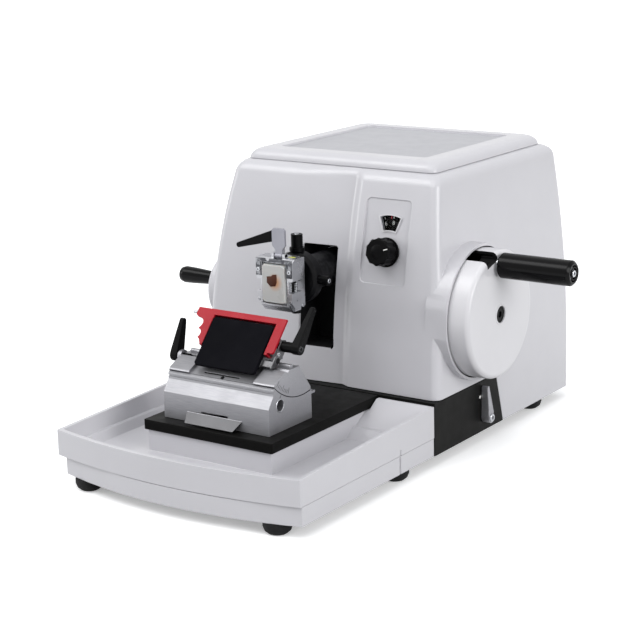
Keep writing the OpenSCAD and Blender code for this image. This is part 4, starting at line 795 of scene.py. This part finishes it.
HOUSING_SCREWS = (
    (-105, 300, 40), (105, 300, 40), (-88, 300, 236), (88, 300, 236), (-300, 215, 40), (-300, 215, 205),
)
for index, outside in enumerate(HOUSING_SCREWS):
    near, normal = shown["housing_shell"].closest_point_on_mesh(Vector(outside) * MM)[1:3]
    screw(f"housing_screw_{index}", tuple(near / MM), tuple(normal), 3.4, "root", "nickel", proud=0.4)

# Knife holder

EDGE_X, EDGE_Y, CRADLE_Z = pivot("segment_tilt")
EDGE_Z = CRADLE_Z + 2
HOLDER_RIGHT, HOLDER_LEFT = 63.5, -59.5
CHEEK_FACE = 49.7
BLADE_LEVER_END = (70, -117.8, 138)
LATERAL_LEVER_END = (-71.8, *pivot("lateral_lever_turn")[1:])
SOCKET_Y, SOCKET_Z = -144, 90

SLOPE = placed((EDGE_X, EDGE_Y, EDGE_Z), (0, -0.7431, 0.6691), (0, 0.6691, 0.7431))
join(rod("guard_pin", [(-62.2, 1.2, 2.25), (-57.4, 1.2, 2.25)], 1.4, SLOPE, 12), "guard", "nickel")
screw("cheek_screw", (CHEEK_FACE + 0.1, -125.6, 132.2), RIGHT, 1.9, "carrier", "nickel", proud=0.7)
# A dark cup on the cheek, painted shade standing for a hole
cheek_shade_profile = [(0, -0.3), (0, 0.15), (1.6, 0.15), (2.4, 0.35), (2.8, 0.2), (2.8, -0.3)]
cheek_hole_shade = turned("cheek_hole_shade", cheek_shade_profile, placed((CHEEK_FACE, -126.5, 126.1), RIGHT), 32)
join(cheek_hole_shade, "carrier", "black_metal", FINISHES["black_inner_and_painted_shade"])
screw("blade_lever_screw", BLADE_LEVER_END, RIGHT, 3.6, "blade_lever", "black_metal", proud=0.5)
screw("lateral_lever_screw", LATERAL_LEVER_END, LEFT, 3.6, "lateral_lever", "black_metal", proud=0.5)
# A dark piece in the segment's hole, painted shade inside it
hole_shade_place = placed((HOLE_X, -150.1, 109.15), (0, -0.5, 0.866))
hole_shade_profile = [(0, -0.1), (1.15, -0.1), (1.3, 0.25), (1.7, 0.3), (1.9, 0.1), (1.9, -0.6)]
hole_shade = turned("segment_hole_shade", hole_shade_profile, hole_shade_place, 32)
join(hole_shade, "segment", "black_metal", FINISHES["black_inner_and_painted_shade"])
socket_profile = [(5.3, -2.0), (6.4, -2.0), (6.4, 0.2), (6.1, 0.45), (5.6, 0.45), (5.3, 0.1)]
socket_place = placed((HOLDER_RIGHT, SOCKET_Y, SOCKET_Z), RIGHT)
socket_ring = turned("socket_ring", socket_profile, socket_place)
join(socket_ring, "holder", "nickel")


def arc_line(radius, start, end, steps=48):
    """Points along an arc about the local origin, from a start to an end angle."""
    return [(*polar(radius, start + (end - start) * i / steps), 0.0) for i in range(steps + 1)]


RIGHT_END = placed((HOLDER_RIGHT, EDGE_Y, CRADLE_Z), RIGHT)
LEFT_END = placed((HOLDER_LEFT, EDGE_Y, CRADLE_Z), LEFT)
JOINT_RADIUS = 60.8
for label, place, start, end in (("right", RIGHT_END, 167, 224.5), ("left", LEFT_END, 135.5, 193)):
    seam = rod(f"cradle_joint_{label}", arc_line(JOINT_RADIUS, start, end), 0.35, place, 6)
    join(seam, "holder", "black_metal", FINISHES["black_inner_and_painted_shade"])

SCALE_START, SCALE_STEP = 202, 2.5
SCALE_LINES = 9
SCALE_OUTER = 58.2
for index in range(SCALE_LINES):
    turn = SCALE_START + index * SCALE_STEP
    inner_radius = 52.5 if index % 4 == 0 else 54.8
    line_mark(
        f"scale_line_{index}", polar(inner_radius, turn), polar(SCALE_OUTER, turn), 0.45, RIGHT_END,
        "segment", "aluminium", FINISHES["ink_black"],
    )
line_mark(
    "scale_index", polar(61.4, 212), polar(65.2, 212), 0.6, RIGHT_END, "holder", "aluminium",
    FINISHES["ink_black"],
)

# Floor, light and camera


def seen_directly(tree):
    """1 for what the camera sees, also in a mirror or through glass, and 0 for the light that spreads."""
    light_path = tree.nodes.new("ShaderNodeLightPath")
    total = light_path.outputs["Is Camera Ray"]
    for name in ("Is Glossy Ray", "Is Transmission Ray"):
        either = tree.nodes.new("ShaderNodeMath")
        either.operation = "MAXIMUM"
        tree.links.new(total, either.inputs[0])
        tree.links.new(light_path.outputs[name], either.inputs[1])
        total = either.outputs[0]
    return total


FLOOR_HALF = 9.0
FLOOR_GLOW = 0.3
# Less light comes back from the floor than the camera sees, as on a small white sheet
FLOOR_SPREAD = (0.36, 0.36, 0.36)

floor_nodes = Nodes("floor")
floor_tone = floor_nodes.ramp(floor_nodes.noise(300, 3.0), 0.3, 0.7, 0.0, 1.0)
floor_colour = floor_nodes.mix(floor_tone, (0.93, 0.93, 0.93), (0.95, 0.95, 0.95))
floor_direct = seen_directly(floor_nodes.tree)
floor_seen = floor_nodes.mix(floor_direct, FLOOR_SPREAD, floor_colour)
floor_nodes.link(floor_seen, floor_nodes.shader.inputs["Base Color"])
floor_nodes.shader.inputs["Emission Color"].default_value = (1, 1, 1, 1)
floor_glow = floor_nodes.ramp(floor_direct, 0.0, 1.0, 0.0, FLOOR_GLOW)
floor_nodes.link(floor_glow, floor_nodes.shader.inputs["Emission Strength"])
floor_nodes.shader.inputs["Roughness"].default_value = 0.85
floor_nodes.shader.inputs["Specular IOR Level"].default_value = 0.1
corners = [(-FLOOR_HALF, -FLOOR_HALF, 0), (FLOOR_HALF, -FLOOR_HALF, 0)]
corners += [(FLOOR_HALF, FLOOR_HALF, 0), (-FLOOR_HALF, FLOOR_HALF, 0)]
floor_mesh = bpy.data.meshes.new("floor")
floor_mesh.from_pydata(corners, [], [(0, 1, 2, 3)])
floor = bpy.data.objects.new("floor", floor_mesh)
floor.data.materials.append(floor_nodes.material)
bpy.context.scene.collection.objects.link(floor)


def sun(name, azimuth, elevation, strength, angle):
    """A soft sun at an azimuth, measured from the front towards the right side, and an elevation."""
    data = bpy.data.lights.new(name, "SUN")
    data.energy = strength
    data.angle = math.radians(angle)
    obj = bpy.data.objects.new(name, data)
    a = math.radians(azimuth)
    e = math.radians(elevation)
    towards = Vector((math.sin(a) * math.cos(e), -math.cos(a) * math.cos(e), math.sin(e)))
    obj.rotation_euler = towards.to_track_quat("Z", "Y").to_euler()
    bpy.context.scene.collection.objects.link(obj)


sun("light_main", -6, 62, 1.15, 60)
sun("light_right", 82, 20, 1.6, 34)
sun("light_left", -60, 14, 0.6, 22)
sun("light_high_left", -54, 47, 0.6, 26)

SKY_LEVEL = 0.68
world = bpy.data.worlds.new("surroundings")
bpy.context.scene.world = world
world.use_nodes = True
tree = world.node_tree
tree.nodes.clear()
sky = tree.nodes.new("ShaderNodeBackground")
sky.inputs["Color"].default_value = (0.95, 0.97, 1.0, 1.0)
sky.inputs["Strength"].default_value = SKY_LEVEL
seen = tree.nodes.new("ShaderNodeBackground")
seen.inputs["Color"].default_value = (1, 1, 1, 1)
seen.inputs["Strength"].default_value = 1.0
choose = tree.nodes.new("ShaderNodeMixShader")
world_output = tree.nodes.new("ShaderNodeOutputWorld")
tree.links.new(seen_directly(tree), choose.inputs[0])
tree.links.new(sky.outputs[0], choose.inputs[1])
tree.links.new(seen.outputs[0], choose.inputs[2])
tree.links.new(choose.outputs[0], world_output.inputs["Surface"])

# The photograph's view, from the directions of its straight edges
CAMERA_AZIMUTH = math.radians(34.963)
CAMERA_ELEVATION = math.radians(14.300)
CAMERA_ROLL = math.radians(1.402)
CAMERA_PLACE = (971.74786, -1375.89967, 559.84012)
FOCAL_PIXELS = 1748.38
PICTURE_PIXELS = 640
SENSOR_WIDTH = 36

sin_azimuth, cos_azimuth = math.sin(CAMERA_AZIMUTH), math.cos(CAMERA_AZIMUTH)
sin_elevation, cos_elevation = math.sin(CAMERA_ELEVATION), math.cos(CAMERA_ELEVATION)
sin_roll, cos_roll = math.sin(CAMERA_ROLL), math.cos(CAMERA_ROLL)
forward = Vector((-sin_azimuth * cos_elevation, cos_azimuth * cos_elevation, -sin_elevation))
level = Vector((cos_azimuth, sin_azimuth, 0))
down = forward.cross(level)
right = cos_roll * level + sin_roll * down
below = -sin_roll * level + cos_roll * down
camera_data = bpy.data.cameras.new("camera")
camera_data.sensor_width = SENSOR_WIDTH
camera_data.lens = FOCAL_PIXELS / PICTURE_PIXELS * SENSOR_WIDTH
camera = bpy.data.objects.new("camera", camera_data)
matrix = Matrix((right, -below, -forward)).transposed().to_4x4()
matrix.translation = Vector(CAMERA_PLACE) * MM
camera.matrix_world = matrix
bpy.context.scene.collection.objects.link(camera)
bpy.context.scene.camera = camera
bpy.context.scene.view_settings.view_transform = "Standard"
